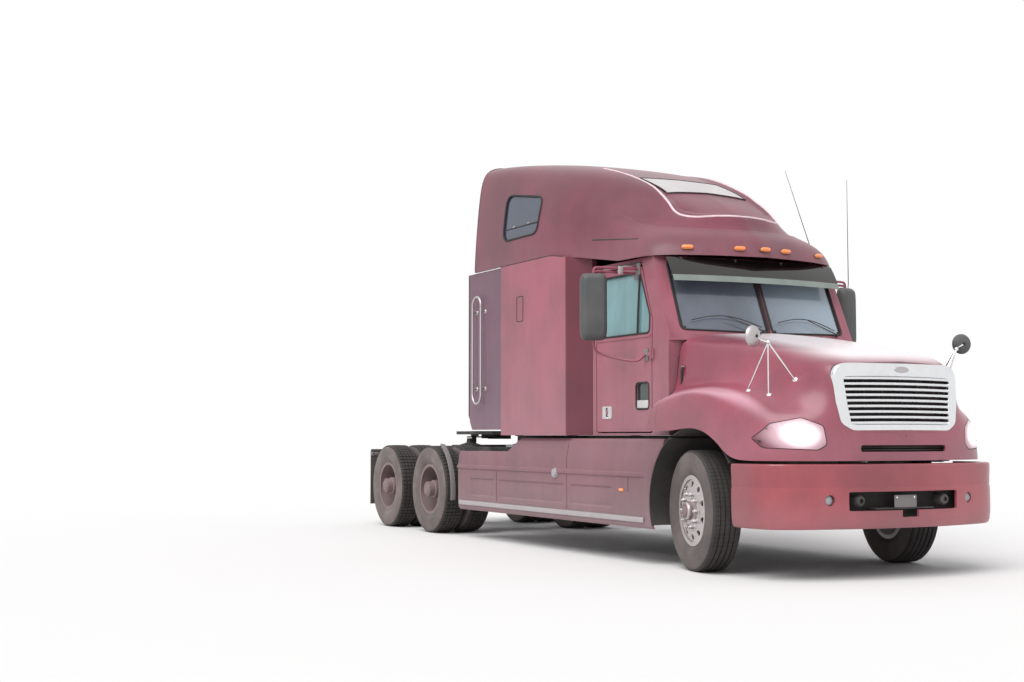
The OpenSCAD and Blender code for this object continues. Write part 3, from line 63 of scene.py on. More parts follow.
cameraLook = {
    "place": (-8.02, -8.946, 1.153),
    "yaw": 26.753,                   # degrees from +Y towards +X
    "pitch": 3.751,
    "lens": 50.41,
    "sensor": 36.0,
}


def makeCamera():
    data = bpy.data.cameras.new("camera")
    camera = bpy.data.objects.new("camera", data)
    bpy.context.scene.collection.objects.link(camera)
    bpy.context.scene.camera = camera
    data.lens = cameraLook["lens"]
    data.sensor_width = cameraLook["sensor"]
    data.clip_end = 200
    yaw = math.radians(cameraLook["yaw"])
    pitch = math.radians(cameraLook["pitch"])
    ahead = Vector((math.sin(yaw) * math.cos(pitch), math.cos(yaw) * math.cos(pitch), math.sin(pitch)))
    camera.location = station(cameraLook["place"])
    camera.rotation_euler = ahead.to_track_quat("-Z", "Y").to_euler()


makeCamera()
print("stage: camera")


# Shader maths

def toLinear(colour):
    # sRGB from 0 to 255 into the shader's linear values
    return tuple(((c / 255 + 0.055) / 1.055) ** 2.4 if c > 10 else c / 3294.6 for c in colour) + (1.0,)


class Val:
    # A socket that takes + - * / and ** as Math nodes
    def __init__(self, look, socket):
        self.look = look
        self.socket = socket

    def math(self, operation, a, b=0.0):
        return self.look.add("ShaderNodeMath", {"operation": operation}, {0: a, 1: b}).val(0)

    def __add__(self, other):
        return self.math("ADD", self, other)

    def __radd__(self, other):
        return self.math("ADD", other, self)

    def __sub__(self, other):
        return self.math("SUBTRACT", self, other)

    def __rsub__(self, other):
        return self.math("SUBTRACT", other, self)

    def __mul__(self, other):
        return self.math("MULTIPLY", self, other)

    def __rmul__(self, other):
        return self.math("MULTIPLY", other, self)

    def __truediv__(self, other):
        return self.math("DIVIDE", self, other)

    def __rtruediv__(self, other):
        return self.math("DIVIDE", other, self)

    def __pow__(self, other):
        return self.math("POWER", self, other)

    def atMost(self, other):
        return self.math("MINIMUM", self, other)

    def atLeast(self, other):
        return self.math("MAXIMUM", self, other)

    def ramp(self, low, high):
        # 0 below low, 1 above high, smooth between
        return self.look.add("ShaderNodeMapRange", {"interpolation_type": "SMOOTHSTEP"},
                             {"Value": self, "From Min": low, "From Max": high}).val("Result")


class Made:
    # A node just made, whose outputs are taken by name or place
    def __init__(self, look, node):
        self.look = look
        self.node = node

    def val(self, name):
        return Val(self.look, self.node.outputs[name])


class Look:
    # One material with a Principled shader
    def __init__(self, name):
        self.material = bpy.data.materials.new(name)
        self.material.use_nodes = True
        self.tree = self.material.node_tree
        self.tree.nodes.clear()
        self.shader = self.tree.nodes.new("ShaderNodeBsdfPrincipled")
        self.out = self.tree.nodes.new("ShaderNodeOutputMaterial")
        self.tree.links.new(self.shader.outputs[0], self.out.inputs[0])

    def put(self, socket, value):
        if isinstance(value, Val):
            self.tree.links.new(value.socket, socket)
        elif isinstance(value, (tuple, list)) and len(value) == 3 and len(socket.default_value) == 4:
            socket.default_value = tuple(value) + (1.0,)
        else:
            socket.default_value = value

    def add(self, kind, settings=None, sockets=None):
        node = self.tree.nodes.new(kind)
        for key, value in (settings or {}).items():
            setattr(node, key, value)
        for key, value in (sockets or {}).items():
            self.put(node.inputs[key], value)
        return Made(self, node)

    def set(self, **values):
        for key, value in values.items():
            self.put(self.shader.inputs[key.replace("_", " ")], value)
        return self.material

    def place(self):
        return self.add("ShaderNodeTexCoord").val("Object")

    def along(self, axis):
        # The x, y or z of a point on the piece at rest
        return self.add("ShaderNodeSeparateXYZ", None, {0: self.place()}).val(axis)

    def facing(self, axis):
        # 1 where a surface faces along an axis at rest, -1 where it faces the other way
        normal = self.add("ShaderNodeTexCoord").val("Normal")
        return self.add("ShaderNodeSeparateXYZ", None, {0: normal}).val(axis)

    def noise(self, scale, detail=3.0, rough=0.55, stretch=(1, 1, 1)):
        spot = self.add("ShaderNodeMapping", None, {"Vector": self.place(), "Scale": stretch}).val(0)
        return self.add("ShaderNodeTexNoise", None,
                        {"Vector": spot, "Scale": scale, "Detail": detail, "Roughness": rough}).val(0)

    def cells(self, scale, feature="F1"):
        return self.add("ShaderNodeTexVoronoi", {"feature": feature},
                        {"Vector": self.place(), "Scale": scale}).val("Distance")

    def mix(self, share, a, b):
        node = self.add("ShaderNodeMix", {"data_type": "RGBA"})
        self.put(node.node.inputs[0], share)
        self.put(node.node.inputs[6], a)
        self.put(node.node.inputs[7], b)
        return Val(self, node.node.outputs[2])

    def bump(self, height, strength, distance=0.002):
        return self.add("ShaderNodeBump", None,
                        {"Height": height, "Strength": strength, "Distance": distance}).val(0)


# Finishes

paintLook = {
    "colour": (154, 50, 76),
    "dustColour": (186, 158, 164),
    "chip": (120, 100, 98),
    "roughness": 0.30,
    "paintedHighlightTop": (246, 236, 238),       # painted highlight on the hood's top and on its fenders
    "paintedHighlightFender": (226, 178, 192),
}


def shade(colour, share):
    return toLinear([c * share for c in colour])


def paint(name, dust, low=0.4, high=1.6, colour=None, dustColour=None, gloss=0.3, paintedHighlight=0.0, front=0.0):
    # Faded gloss paint; dust lies thicker towards the height low. A painted highlight whitens the hood's top and the
    # fenders' upper faces, and front paints shade on what faces ahead
    look = Look(name)
    z = look.along("Z")
    cloud = look.noise(1.3, 5, 0.6)
    streaks = look.noise(6.0, 4, 0.6, (1, 1, 0.12))
    grit = look.noise(70.0, 3, 0.6)
    colour = colour or paintLook["colour"]
    base = look.mix(cloud.ramp(0.35, 0.7), shade(colour, 0.8), toLinear(colour))
    lowMask = 1 - z.ramp(low, high)
    mask = (dust + lowMask * 0.35 * (dust + 0.3)) * (0.65 + streaks * 0.5 + cloud * 0.3)
    mask = (mask * (0.85 + grit * 0.3)).atMost(0.94)
    dustAndPaintedLight = look.mix(mask, base, toLinear(dustColour or paintLook["dustColour"]))
    # Painted highlight: the hood's top and the fenders' upper faces are made pale, as if lit
    if paintedHighlight:
        x = look.along("X")
        side = (x * x) ** 0.5
        top = z.ramp(1.70, 1.82) * (1 - side.ramp(0.40, 0.74))
        dustAndPaintedLight = look.mix(top * paintedHighlight * (0.85 + cloud * 0.3), dustAndPaintedLight, toLinear(paintLook["paintedHighlightTop"]))
        fender = look.facing("Z").ramp(0.30, 0.85) * (1 - z.ramp(1.56, 1.66)) * side.ramp(1.00, 1.09)
        dustAndPaintedLight = look.mix(fender * 0.6, dustAndPaintedLight, toLinear(paintLook["paintedHighlightFender"]))
    # Painted shade: faces that look ahead are darkened
    if front:
        ahead = (0 - look.facing("Y")).ramp(0.10, 0.30)
        dustAndPaintedLight = look.mix(ahead * front, dustAndPaintedLight, shade(colour, 0.5))
    chips = look.cells(38.0).ramp(0.06, 0.03) * look.noise(3.0, 2).ramp(0.6, 0.72)
    return look.set(Base_Color=look.mix(chips * 0.3, dustAndPaintedLight, toLinear(paintLook["chip"])),
                    Roughness=(paintLook["roughness"] + mask * 0.35).atMost(0.8),
                    Coat_Weight=(gloss - mask * 0.9).atLeast(0.0),
                    Coat_Roughness=0.2 if paintedHighlight else 0.08,
                    Specular_IOR_Level=0.2 + 0.3 * gloss,
                    Normal=look.bump(look.noise(2.2, 2) * 0.6 + grit * 0.02, 0.05, 0.01))


def metal(name, colour, roughness, dust=0.2, brushed=(1, 1, 1), metallic=1.0, dustColour=(150, 140, 136)):
    # Bare or plated metal with finger marks, fine scratches and dust
    look = Look(name)
    smear = look.noise(9.0, 4, 0.6)
    grain = look.noise(160.0, 2, 0.5, brushed)
    settled = look.facing("Z").atLeast(0.0) * dust * 0.4
    mask = (look.noise(3.0, 5, 0.65).ramp(0.35, 0.75) * dust + settled).atMost(0.95)
    bare = look.mix(smear * 0.3, toLinear(colour), shade(colour, 0.8))
    return look.set(Base_Color=look.mix(mask, bare, toLinear(dustColour)),
                    Roughness=(roughness + smear * 0.12 + grain * 0.08 + mask * 0.5).atMost(0.9),
                    Metallic=metallic - mask * 0.8 * metallic,
                    Normal=look.bump(grain, 0.08, 0.001))


def plastic(name, colour, roughness=0.55, dust=0.25):
    # Moulded plastic with a fine leather grain
    look = Look(name)
    grain = look.cells(220.0)
    cloud = look.noise(2.5, 4, 0.6)
    settled = look.facing("Z").atLeast(0.0) * dust * 0.7
    mask = ((cloud.ramp(0.3, 0.75) * 0.7 + 0.3) * dust + settled).atMost(0.9)
    bare = look.mix(cloud * 0.5, toLinear(colour), shade(colour, 0.7))
    return look.set(Base_Color=look.mix(mask, bare, toLinear((150, 138, 134))),
                    Roughness=(roughness + mask * 0.3 + grain * 0.1).atMost(0.95),
                    Normal=look.bump(grain, 0.15, 0.0006))


def rubber(name, colour, dust=0.3):
    look = Look(name)
    speck = look.noise(40.0, 4, 0.7)
    patch = look.noise(3.0, 4, 0.6)
    mask = ((patch.ramp(0.25, 0.8) * 0.6 + 0.4) * dust * (0.7 + speck * 0.6)).atMost(0.9)
    return look.set(Base_Color=look.mix(mask, toLinear(colour), toLinear((142, 130, 126))),
                    Roughness=(0.72 + mask * 0.25).atMost(0.95),
                    Normal=look.bump(speck + look.noise(220.0, 2) * 0.5, 0.25, 0.0012))


def glass(name, colour, alpha, roughness=0.04, across=None):
    # Tinted safety glass with wipe marks; across is a painted reflection, paler towards its left end
    look = Look(name)
    smear = look.noise(4.0, 4, 0.6, (1, 1, 0.4))
    tint = look.mix(smear.ramp(0.3, 0.8), toLinear(colour), shade(colour, 0.88))
    if across:
        tint = look.mix(look.along("X").ramp(-0.5, 1.0), tint, toLinear(across))
    return look.set(Base_Color=tint, Roughness=roughness + smear * 0.05, Alpha=alpha, IOR=1.5,
                    Specular_IOR_Level=0.8)


def lens(name, colour, glow=0.0, alpha=1.0):
    # Moulded lamp lens with fine flutes
    look = Look(name)
    flutes = look.noise(60.0, 2, 0.5, (3, 1, 0.3))
    look.set(Base_Color=look.mix(flutes * 0.6, toLinear(colour), shade(colour, 0.75)),
             Roughness=0.12 + flutes * 0.1,
             Normal=look.bump(flutes, 0.3, 0.002), Alpha=alpha)
    if glow:
        look.set(Emission_Color=toLinear(colour), Emission_Strength=glow)
    return look.material


lampLook = {"hotX": 0.90, "hotZ": 1.155, "rim": (140, 86, 98), "middle": (200, 170, 178), "glow": 1.05}


def headlampGlow():
    # The lit lamp: white in the middle, clear glass at its rim
    look = Look("headlampGlass")
    spot = look.along("X")
    height = look.along("Z")
    side = (spot * spot) ** 0.5
    far = ((side - lampLook["hotX"]) ** 2.0) / 0.024 + ((height - lampLook["hotZ"]) ** 2.0) / 0.013
    heat = 1 - far.ramp(0.05, 1.0)
    soft = 1 - far.ramp(0.4, 2.6)
    halo = look.mix(soft, (0.0, 0.0, 0.0), (0.16, 0.10, 0.12))
    return look.set(Base_Color=look.mix(soft, toLinear(lampLook["rim"]), toLinear(lampLook["middle"])),
                    Roughness=0.1 + look.noise(50.0) * 0.1,
                    Emission_Color=look.mix(heat, halo, (1.0, 1.0, 1.0)),
                    Alpha=(0.7 + soft * 0.3).atMost(1.0),
                    Emission_Strength=lampLook["glow"])


def fabric(name, colour):
    # Woven seat cloth
    look = Look(name)
    weave, weft = (look.add("ShaderNodeTexWave", {"wave_type": "BANDS", "bands_direction": axis},
                            {"Vector": look.place(), "Scale": 260.0}).val("Fac") for axis in "XZ")
    cloud = look.noise(5.0, 4)
    return look.set(Base_Color=look.mix(cloud, toLinear(colour), shade(colour, 0.7)),
                    Roughness=0.85 + weave * 0.1, Sheen_Weight=0.3,
                    Normal=look.bump(weave * weft, 0.3, 0.0008))


looks = {
    "paintSide": paint("paintSide", 0.20, 0.9, 2.8),
    # The sleeper's paint darkens its forward faces as painted shade
    "paintSleeper": paint("paintSleeper", 0.20, 0.9, 2.8, front=0.75),
    "paintRoof": paint("paintRoof", 0.11, 2.6, 3.2, (114, 31, 54), gloss=0.22),
    # The rib's pale dust colour is a painted highlight
    "paintRibHighlight": paint("paintRibHighlight", 0.78, 2.0, 2.6, dustColour=(244, 220, 226), gloss=0.6),
    # The hood's paint carries the painted highlight on its top and fenders
    "paintHood": paint("paintHood", 0.11, 0.7, 1.6, gloss=0.5, paintedHighlight=0.9),
    "paintBumper": paint("paintBumper", 0.11, 0.35, 0.75, (160, 54, 64), gloss=0.5),
    "paintFairing": paint("paintFairing", 0.42, 0.3, 0.9, (138, 64, 84), (142, 127, 128), 0.2),
    "paintExtender": paint("paintExtender", 0.34, 0.9, 3.0, (108, 62, 82), (140, 120, 130), 0.2),
    "chassis": metal("chassisPaint", (40, 38, 40), 0.5, 0.4, metallic=0.2),
    "cast": metal("castIron", (58, 56, 58), 0.6, 0.4, metallic=0.3),
    "tank": metal("tankAluminium", (190, 190, 194), 0.28, 0.4, (1, 30, 1)),
    "alloy": metal("polishedWheel", (206, 200, 198), 0.32, 0.22),
    "steelWheel": metal("dustyWheel", (134, 114, 114), 0.5, 0.85, metallic=0.2, dustColour=(146, 128, 126)),
    "chrome": metal("chrome", (235, 236, 238), 0.08, 0.06),
    "satin": metal("satinRail", (196, 190, 192), 0.3, 0.2),
    "tyre": rubber("tyreRubber", (44, 40, 40), 0.6),
    "driveTyre": rubber("driveRubber", (52, 47, 47), 0.78),
    "tread": rubber("treadRubber", (24, 22, 23), 0.16),
    "rubber": rubber("sheetRubber", (46, 44, 46), 0.3),
    "seal": rubber("windowSeal", (22, 21, 23), 0.08),
    "black": plastic("blackPlastic", (36, 36, 39), 0.5, 0.2),
    "mirrorShell": plastic("mirrorShell", (62, 68, 70), 0.5, 0.2),
    "grey": plastic("greyPlastic", (120, 116, 118), 0.5, 0.35),
    "dash": plastic("dashPlastic", (96, 92, 92), 0.6, 0.2),
    "pale": plastic("palePlastic", (214, 208, 208), 0.4, 0.1),
    "liner": plastic("linerPlastic", (28, 27, 29), 0.75, 0.2),
    # The windscreen's across colour is a painted reflection
    "screen": glass("screenGlass", (98, 104, 116), 0.94, across=(158, 174, 186)),
    # The side glass's teal stands in for bright sky seen through both side windows: painted light
    "sideGlass": glass("sideGlass", (118, 162, 166), 0.92),
    "peeperGlass": glass("peeperGlass", (58, 66, 64), 0.95),
    "bunkGlass": glass("bunkGlass", (58, 66, 84), 0.98),
    "visor": glass("visorPlastic", (30, 26, 24), 0.98, 0.07),
    "visorLip": glass("visorLip", (128, 138, 132), 0.97, 0.2),
    "mirror": metal("mirrorGlass", (226, 230, 234), 0.03, 0.05),
    "amber": lens("amberLens", (236, 142, 84), 0.25),
    "red": lens("redLens", (170, 24, 22)),
    "clear": lens("clearLens", (226, 228, 230), 0.0, 0.55),
    "lamp": headlampGlow(),
    "cloth": fabric("seatCloth", (112, 106, 108)),
}
print("stage: materials")


# Shapes: every point is (x, s, z) in metres

def spreadNormals(mesh, sharpAngle):
    # Smooth faces, with edges sharper than the angle kept crisp
    mesh.polygons.foreach_set("use_smooth", [True] * len(mesh.polygons))
    work = bmesh.new()
    work.from_mesh(mesh)
    limit = math.radians(sharpAngle)
    for edge in work.edges:
        edge.smooth = len(edge.link_faces) == 2 and edge.calc_face_angle(0) < limit
    work.to_mesh(mesh)
    work.free()


def weighNormals(obj):
    modifier = obj.modifiers.new("normals", "WEIGHTED_NORMAL")
    modifier.keep_sharp = True
    modifier.weight = 80


def roundEdges(obj, width, angle):
    edge = obj.modifiers.new("edge", "BEVEL")
    edge.width = width
    edge.segments = 2
    edge.limit_method = "ANGLE"
    edge.angle_limit = math.radians(angle)


def carve(obj, cutters, operation="DIFFERENCE"):
    for cutter in cutters:
        modifier = obj.modifiers.new("cut", "BOOLEAN")
        modifier.operation = operation
        modifier.object = cutter
        modifier.solver = "EXACT"
    graph = bpy.context.evaluated_depsgraph_get()
    mesh = bpy.data.meshes.new_from_object(obj.evaluated_get(graph))
    obj.modifiers.clear()
    obj.data = mesh
    for cutter in cutters:
        bpy.data.objects.remove(cutter)


def finishShell(obj, cutters, body, node, operation="DIFFERENCE", sharp=30, bevel=0.0):
    # A moulding is cut, rounded and takes the place of its solid
    carve(obj, cutters, operation)
    spreadNormals(obj.data, sharp)
    if bevel:
        roundEdges(obj, bevel, 60)
    weighNormals(obj)
    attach(obj, body)
    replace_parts(obj, node)
    return obj


def basis(direction):
    along = Vector(direction).normalized()
    side = along.cross((0, 0, 1)) if abs(along.z) < 0.95 else along.cross((1, 0, 0))
    side.normalize()
    return side, side.cross(along), along


def circle(count, powers=(1.0, 1.0)):
    # Points of a unit circle; powers under 1 square it up
    points = []
    for k in range(count):
        a = 2 * math.pi * k / count
        c, s = math.cos(a), math.sin(a)
        points.append((math.copysign(abs(c) ** powers[0], c), math.copysign(abs(s) ** powers[1], s)))
    return points


def arc(centre, radius, start, end, steps):
    # Flat points round a centre, between two angles in degrees
    angles = [math.radians(start + (end - start) * k / steps) for k in range(steps + 1)]
    return [(centre[0] + radius * math.cos(a), centre[1] + radius * math.sin(a)) for a in angles]


def splinePoints(points, steps):
    # Cubic B-spline through the ends of a list of points
    p = [np.array(q, float) for q in points]
    q = [2 * p[0] - p[1]] + p + [2 * p[-1] - p[-2]]
    made = []
    for i in range(len(p) - 1):
        for k in range(steps):
            t = k / steps
            made.append(((1 - t) ** 3 * q[i] + (3 * t ** 3 - 6 * t * t + 4) * q[i + 1]
                         + (-3 * t ** 3 + 3 * t * t + 3 * t + 1) * q[i + 2] + t ** 3 * q[i + 3]) / 6)
    return made + [p[-1]]


def skinGrid(net, steps):
    # A net in millimetres turned into a fine grid in metres
    rows = [splinePoints([np.array(p, float) / 1000 for p in row], steps) for row in net]
    return np.array([splinePoints([row[j] for row in rows], steps) for j in range(len(rows[0]))])


def skinNormals(grid):
    normal = np.cross(np.gradient(grid, axis=0), np.gradient(grid, axis=1))
    # On the middle plane, where a corner has no normal of its own, the one beside it stands in
    for j, i in np.argwhere(np.abs(grid[:, :, 0]) < 0.004):
        normal[j, i] = normal[max(j - 2, 0), max(i - 2, 0)] * (0, 1, 1)
    length = np.linalg.norm(normal, axis=2, keepdims=True)
    return normal / np.maximum(length, 1e-9)


def around(points, i):
    # The point before one of a closed line, the point itself and the next
    return (Vector(points[(i + k) % len(points)]) for k in (-1, 0, 1))


def roundCorners(points, radius, steps=6):
    # A flat outline with every corner turned into an arc
    made = []
    for i in range(len(points)):
        before, corner, after = around(points, i)
        a, b = (before - corner), (after - corner)
        angle = a.angle(b)
        reach = min(radius / math.tan(angle / 2), a.length * 0.48, b.length * 0.48)
        start, end = corner + a.normalized() * reach, corner + b.normalized() * reach
        for k in range(steps + 1):
            t = k / steps
            made.append(tuple((1 - t) ** 2 * start + 2 * t * (1 - t) * corner + t * t * end))
    return made


def panel(u0, v0, u1, v1, radius):
    # A rounded rectangle
    return roundCorners([(u0, v0), (u1, v0), (u1, v1), (u0, v1)], radius)


def grow(points, distance):
    # A flat outline moved out by a distance
    area = sum(points[i - 1][0] * points[i][1] - points[i][0] * points[i - 1][1] for i in range(len(points)))
    turn = 1 if area > 0 else -1
    made = []
    for i in range(len(points)):
        a, b, c = around(points, i)
        first, second = (b - a), (c - b)
        if first.length < 1e-7 or second.length < 1e-7:
            made.append(tuple(b))
            continue
        n1 = Vector((first.y, -first.x)).normalized()
        n2 = Vector((second.y, -second.x)).normalized()
        middle = (n1 + n2)
        middle = middle / max(middle.length_squared / 2, 0.3)
        made.append(tuple(b + middle * distance * turn))
    return made


def between(points, count, closed=False):
    # Evenly spread points along a line
    points = [np.array(p, float) for p in points]
    if closed:
        points.append(points[0])
    steps = [np.linalg.norm(b - a) for a, b in zip(points, points[1:])]
    made = []
    for k in range(count):
        want = sum(steps) * k / (count if closed else count - 1)
        i = 0
        while i < len(steps) - 1 and want > steps[i]:
            want -= steps[i]
            i += 1
        made.append(tuple(points[i] + (points[i + 1] - points[i]) * (want / max(steps[i], 1e-9))))
    return made


def byX(u, v, w):
    return (w, u, v)


def byS(u, v, w):
    return (u, w, v)


class Form:
    # Gathers the shapes of one piece; use() changes the finish of the shapes after it
    def __init__(self):
        self.work = bmesh.new()
        self.slots = []
        self.now = 0

    def use(self, look):
        if look not in self.slots:
            self.slots.append(look)
        self.now = self.slots.index(look)
        return self

    def face(self, corners):
        try:
            self.work.faces.new(corners).material_index = self.now
        except ValueError:
            return

    def grid(self, rows, closedRows=False, closedColumns=False):
        made = [[self.work.verts.new(p) for p in row] for row in rows]
        n, m = len(rows), len(rows[0])
        for i in range(n if closedRows else n - 1):
            for j in range(m if closedColumns else m - 1):
                k, h = (i + 1) % n, (j + 1) % m
                self.face([made[i][j], made[k][j], made[k][h], made[i][h]])
        return made

    def bar(self, rings):
        # A closed body from rings of points, with its two ends shut
        made = self.grid(rings, closedColumns=True)
        self.face(made[0])
        self.face(made[-1])
        return self

    def rail(self, section, side, x, z, stations):
        # A moulding along s at a side; section is a list of (distance out, height)
        return self.bar([[(side * (x + d), s, z + h) for d, h in section] for s in stations])

    def tube(self, points, radius, sides=12, caps=True, closed=False):
        points = [Vector(p) for p in points]
        n = len(points)
        radii = radius if isinstance(radius, (list, tuple)) else [radius] * n
        rings = []
        side = None
        for i, p in enumerate(points):
            ahead = points[(i + 1) % n] if closed or i < n - 1 else p
            behind = points[i - 1] if closed or i > 0 else p
            along = (ahead - behind).normalized()
            side = side or basis(along)[0]
            side = (side - along * side.dot(along)).normalized()
            up = along.cross(side)
            rings.append([p + (side * c + up * s) * radii[i] for c, s in circle(sides)])
        if closed or not caps:
            self.grid(rings, closedRows=closed, closedColumns=True)
            return self
        return self.bar(rings)

    def lathe(self, profile, centre, axis, turns=32, start=0.0, end=360.0):
        # profile is a list of (radius, distance along the axis)
        side, up, along = basis(axis)
        centre = Vector(centre)
        full = end - start > 359.9
        angles = [math.radians(start + (end - start) * k / turns) for k in range(turns if full else turns + 1)]
        rows = [[centre + along * d + (side * math.cos(a) + up * math.sin(a)) * max(r, 1e-5) for r, d in profile]
                for a in angles]
        self.grid(rows, closedRows=full)
        return self

    def prism(self, outline, depth, place):
        # An outline (u, v) drawn out from depth[0] to depth[1]; place turns (u, v, w) into a point
        return self.bar([[place(u, v, w) for u, v in outline] for w in depth])

    def box(self, low, high, soft=0.0):
        # A block between two corners with rounded edges
        low, high = [[pick(a, b) for a, b in zip(low, high)] for pick in (min, max)]
        made = bmesh.ops.create_cube(self.work, size=1.0)
        for vert in made["verts"]:
            vert.co = Vector([low[k] if vert.co[k] < 0 else high[k] for k in range(3)])
        faces = {face for vert in made["verts"] for face in vert.link_faces}
        for face in faces:
            face.material_index = self.now
        if soft:
            edges = {edge for face in faces for edge in face.edges}
            bmesh.ops.bevel(self.work, geom=list(edges), offset=soft, segments=2, profile=0.6, affect="EDGES",
                            material=-1)
        return self

    def bolt(self, centre, axis, radius, height):
        # A washer with a domed hexagon head
        side, up, along = basis(axis)
        centre = Vector(centre)
        washer = [(0, 0), (radius * 1.35, 0), (radius * 1.35, height * 0.2), (radius, height * 0.22)]
        self.lathe(washer, centre, axis, 16)
        head = ((radius, height * 0.2), (radius, height * 0.85), (radius * 0.86, height), (0.0004, height * 1.02))
        self.grid([[centre + along * d + (side * c + up * s) * r for c, s in circle(6)] for r, d in head],
                  closedColumns=True)
        return self

    def make(self, name, look, body="chassis", slot="trim", sharp=34.0, closed=True, merge=0.00004):
        bmesh.ops.remove_doubles(self.work, verts=self.work.verts, dist=merge)
        if closed:
            bmesh.ops.recalc_face_normals(self.work, faces=self.work.faces)
        for vert in self.work.verts:
            vert.co.y += stationY
        mesh = bpy.data.meshes.new(name)
        self.work.to_mesh(mesh)
        self.work.free()
        obj = bpy.data.objects.new(name, mesh)
        bpy.context.scene.collection.objects.link(obj)
        for item in self.slots or [look]:
            mesh.materials.append(looks[item])
        spreadNormals(mesh, sharp)
        if body:
            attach(obj, body)
        return obj


def cutter(outline, depth, place):
    return Form().prism(outline, depth, place).make("cutter", "liner", body=None)


def dressNode(name, look, bevel=0.004, choose=None, others=()):
    # A CAD solid keeps its shape and gets soft edges and a finish
    obj = nodes[name]
    mesh = obj.data
    mesh.materials.clear()
    for item in (look,) + tuple(others):
        mesh.materials.append(looks[item])
    picks = [choose(unstation(p.center), p.normal) if choose else 0 for p in mesh.polygons]
    mesh.polygons.foreach_set("material_index", picks)
    mesh.polygons.foreach_set("use_smooth", [True] * len(mesh.polygons))
    weld = obj.modifiers.new("weld", "WELD")
    weld.merge_threshold = 0.00002
    flat = obj.modifiers.new("flat", "DECIMATE")
    flat.decimate_type = "DISSOLVE"
    flat.angle_limit = math.radians(0.6)
    flat.delimit = {"MATERIAL"}
    if bevel:
        roundEdges(obj, bevel, 38)
    weighNormals(obj)


# Wheels

tyreShape = {
    "radius": 0.513, "half": 0.1425, "bead": 0.2865,
    "grooves": [-0.47, -0.16, 0.16, 0.47],   # middles of the main grooves, in half widths
    "grooveHalf": 0.0055, "depth": 0.0125,
    "notch": 0.004,                          # depth of a lug's cut in the shoulder
}


def tyreRows(pitches, lugged):
    # Sections of a tyre round its axis: an angle, then points as radius and distance across
    r, h, bead = tyreShape["radius"], tyreShape["half"], tyreShape["bead"]
    side = [(bead, 0.72), (bead + 0.012, 0.755), (bead + 0.02, 0.80), (bead + 0.034, 0.885), (bead + 0.05, 0.945),
            (bead + 0.064, 0.962), (bead + 0.067, 0.972), (bead + 0.086, 0.99), (bead + 0.089, 0.982),
            (bead + 0.125, 0.998), (bead + 0.128, 1.0), (bead + 0.14, 0.993), (bead + 0.158, 0.975),
            (r - 0.052, 0.955), (r - 0.036, 0.925), (r - 0.022, 0.885), (r - 0.010, 0.835), (r - 0.003, 0.775)]
    g = tyreShape["grooveHalf"] / h
    tread = []
    edge = -0.72
    for middle in tyreShape["grooves"]:
        tread += [(edge, 0), (middle - g, 0), (middle - g * 0.75, 1), (middle + g * 0.75, 1)]
        edge = middle + g
    tread += [(edge, 0), (0.72, 0)]
    # One pitch of the tread: share of the pitch, and whether the cross cut is there
    pitch = ((0.0, 0), (0.455, 0), (0.475, 1), (0.525, 1), (0.545, 0))
    if lugged:
        pitch = ((0.0, 0), (0.40, 0), (0.43, 1), (0.57, 1), (0.60, 0))
    rows = []
    for k in range(pitches):
        for t, low in pitch:
            wall = [(radius - (tyreShape["notch"] if low and lugged and radius > r - 0.03 else 0.0), x * h)
                    for radius, x in side]
            row = [(radius, -x) for radius, x in wall]
            for x, groove in tread:
                cut = tyreShape["depth"] if groove else 0.0
                if low and not groove:
                    cut = 0.010 if lugged else 0.005 if abs(x) > 0.5 else 0.003
                row.append((r - 0.004 * x * x - cut, x * h))
            rows.append(((k + t) * 2 * math.pi / pitches, row + wall[::-1]))
    return rows


def makeTyre(name, body, centre, axis, offsets, pitches, lugged, node):
    form = Form()
    side, up, along = basis(axis)
    centre = Vector(centre)
    for offset in offsets:
        rows = [[centre + along * (x + offset) + (side * math.cos(a) + up * math.sin(a)) * r for r, x in row]
                for a, row in tyreRows(pitches, lugged)]
        form.grid(rows, closedRows=True, closedColumns=True)
    tyre = form.make(name, "driveTyre" if lugged else "tyre", body, "tyre", sharp=28)
    # The tread is worn clean and dark, the sidewalls keep their dust
    tyre.data.materials.append(looks["tread"])
    hub = Vector(station(centre))
    for polygon in tyre.data.polygons:
        spoke = polygon.center - hub
        if (spoke - along * spoke.dot(along)).length > tyreShape["radius"] - 0.024:
            polygon.material_index = 1
    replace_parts(tyre, node)


wheelPlaces = {"track": 1.040, "kingpin": 0.880, "axle": 1.240, "height": 0.513, "turned": 12.0,
               "drive": [6.770, 8.090], "dual": 0.9100, "halfPitch": 0.1675}


def frontPlace(side):
    # Middle and outward direction of a steered wheel, turned about its kingpin
    turn = math.radians(-wheelPlaces["turned"])
    reach = wheelPlaces["track"] - wheelPlaces["kingpin"]
    out = Vector((side * math.cos(turn), side * math.sin(turn), 0))
    pin = Vector((side * wheelPlaces["kingpin"], wheelPlaces["axle"], wheelPlaces["height"]))
    return pin + out * reach, out


def spokes(centre, out, far, radius, count):
    # Evenly spread places round an axle, the first half a step from the top
    up = Vector((0, 0, 1))
    flat = out.cross(up)
    angles = [math.pi * (2 * k + 1) / count for k in range(count)]
    return [centre + out * far + (up * math.cos(a) + flat * math.sin(a)) * radius for a in angles]


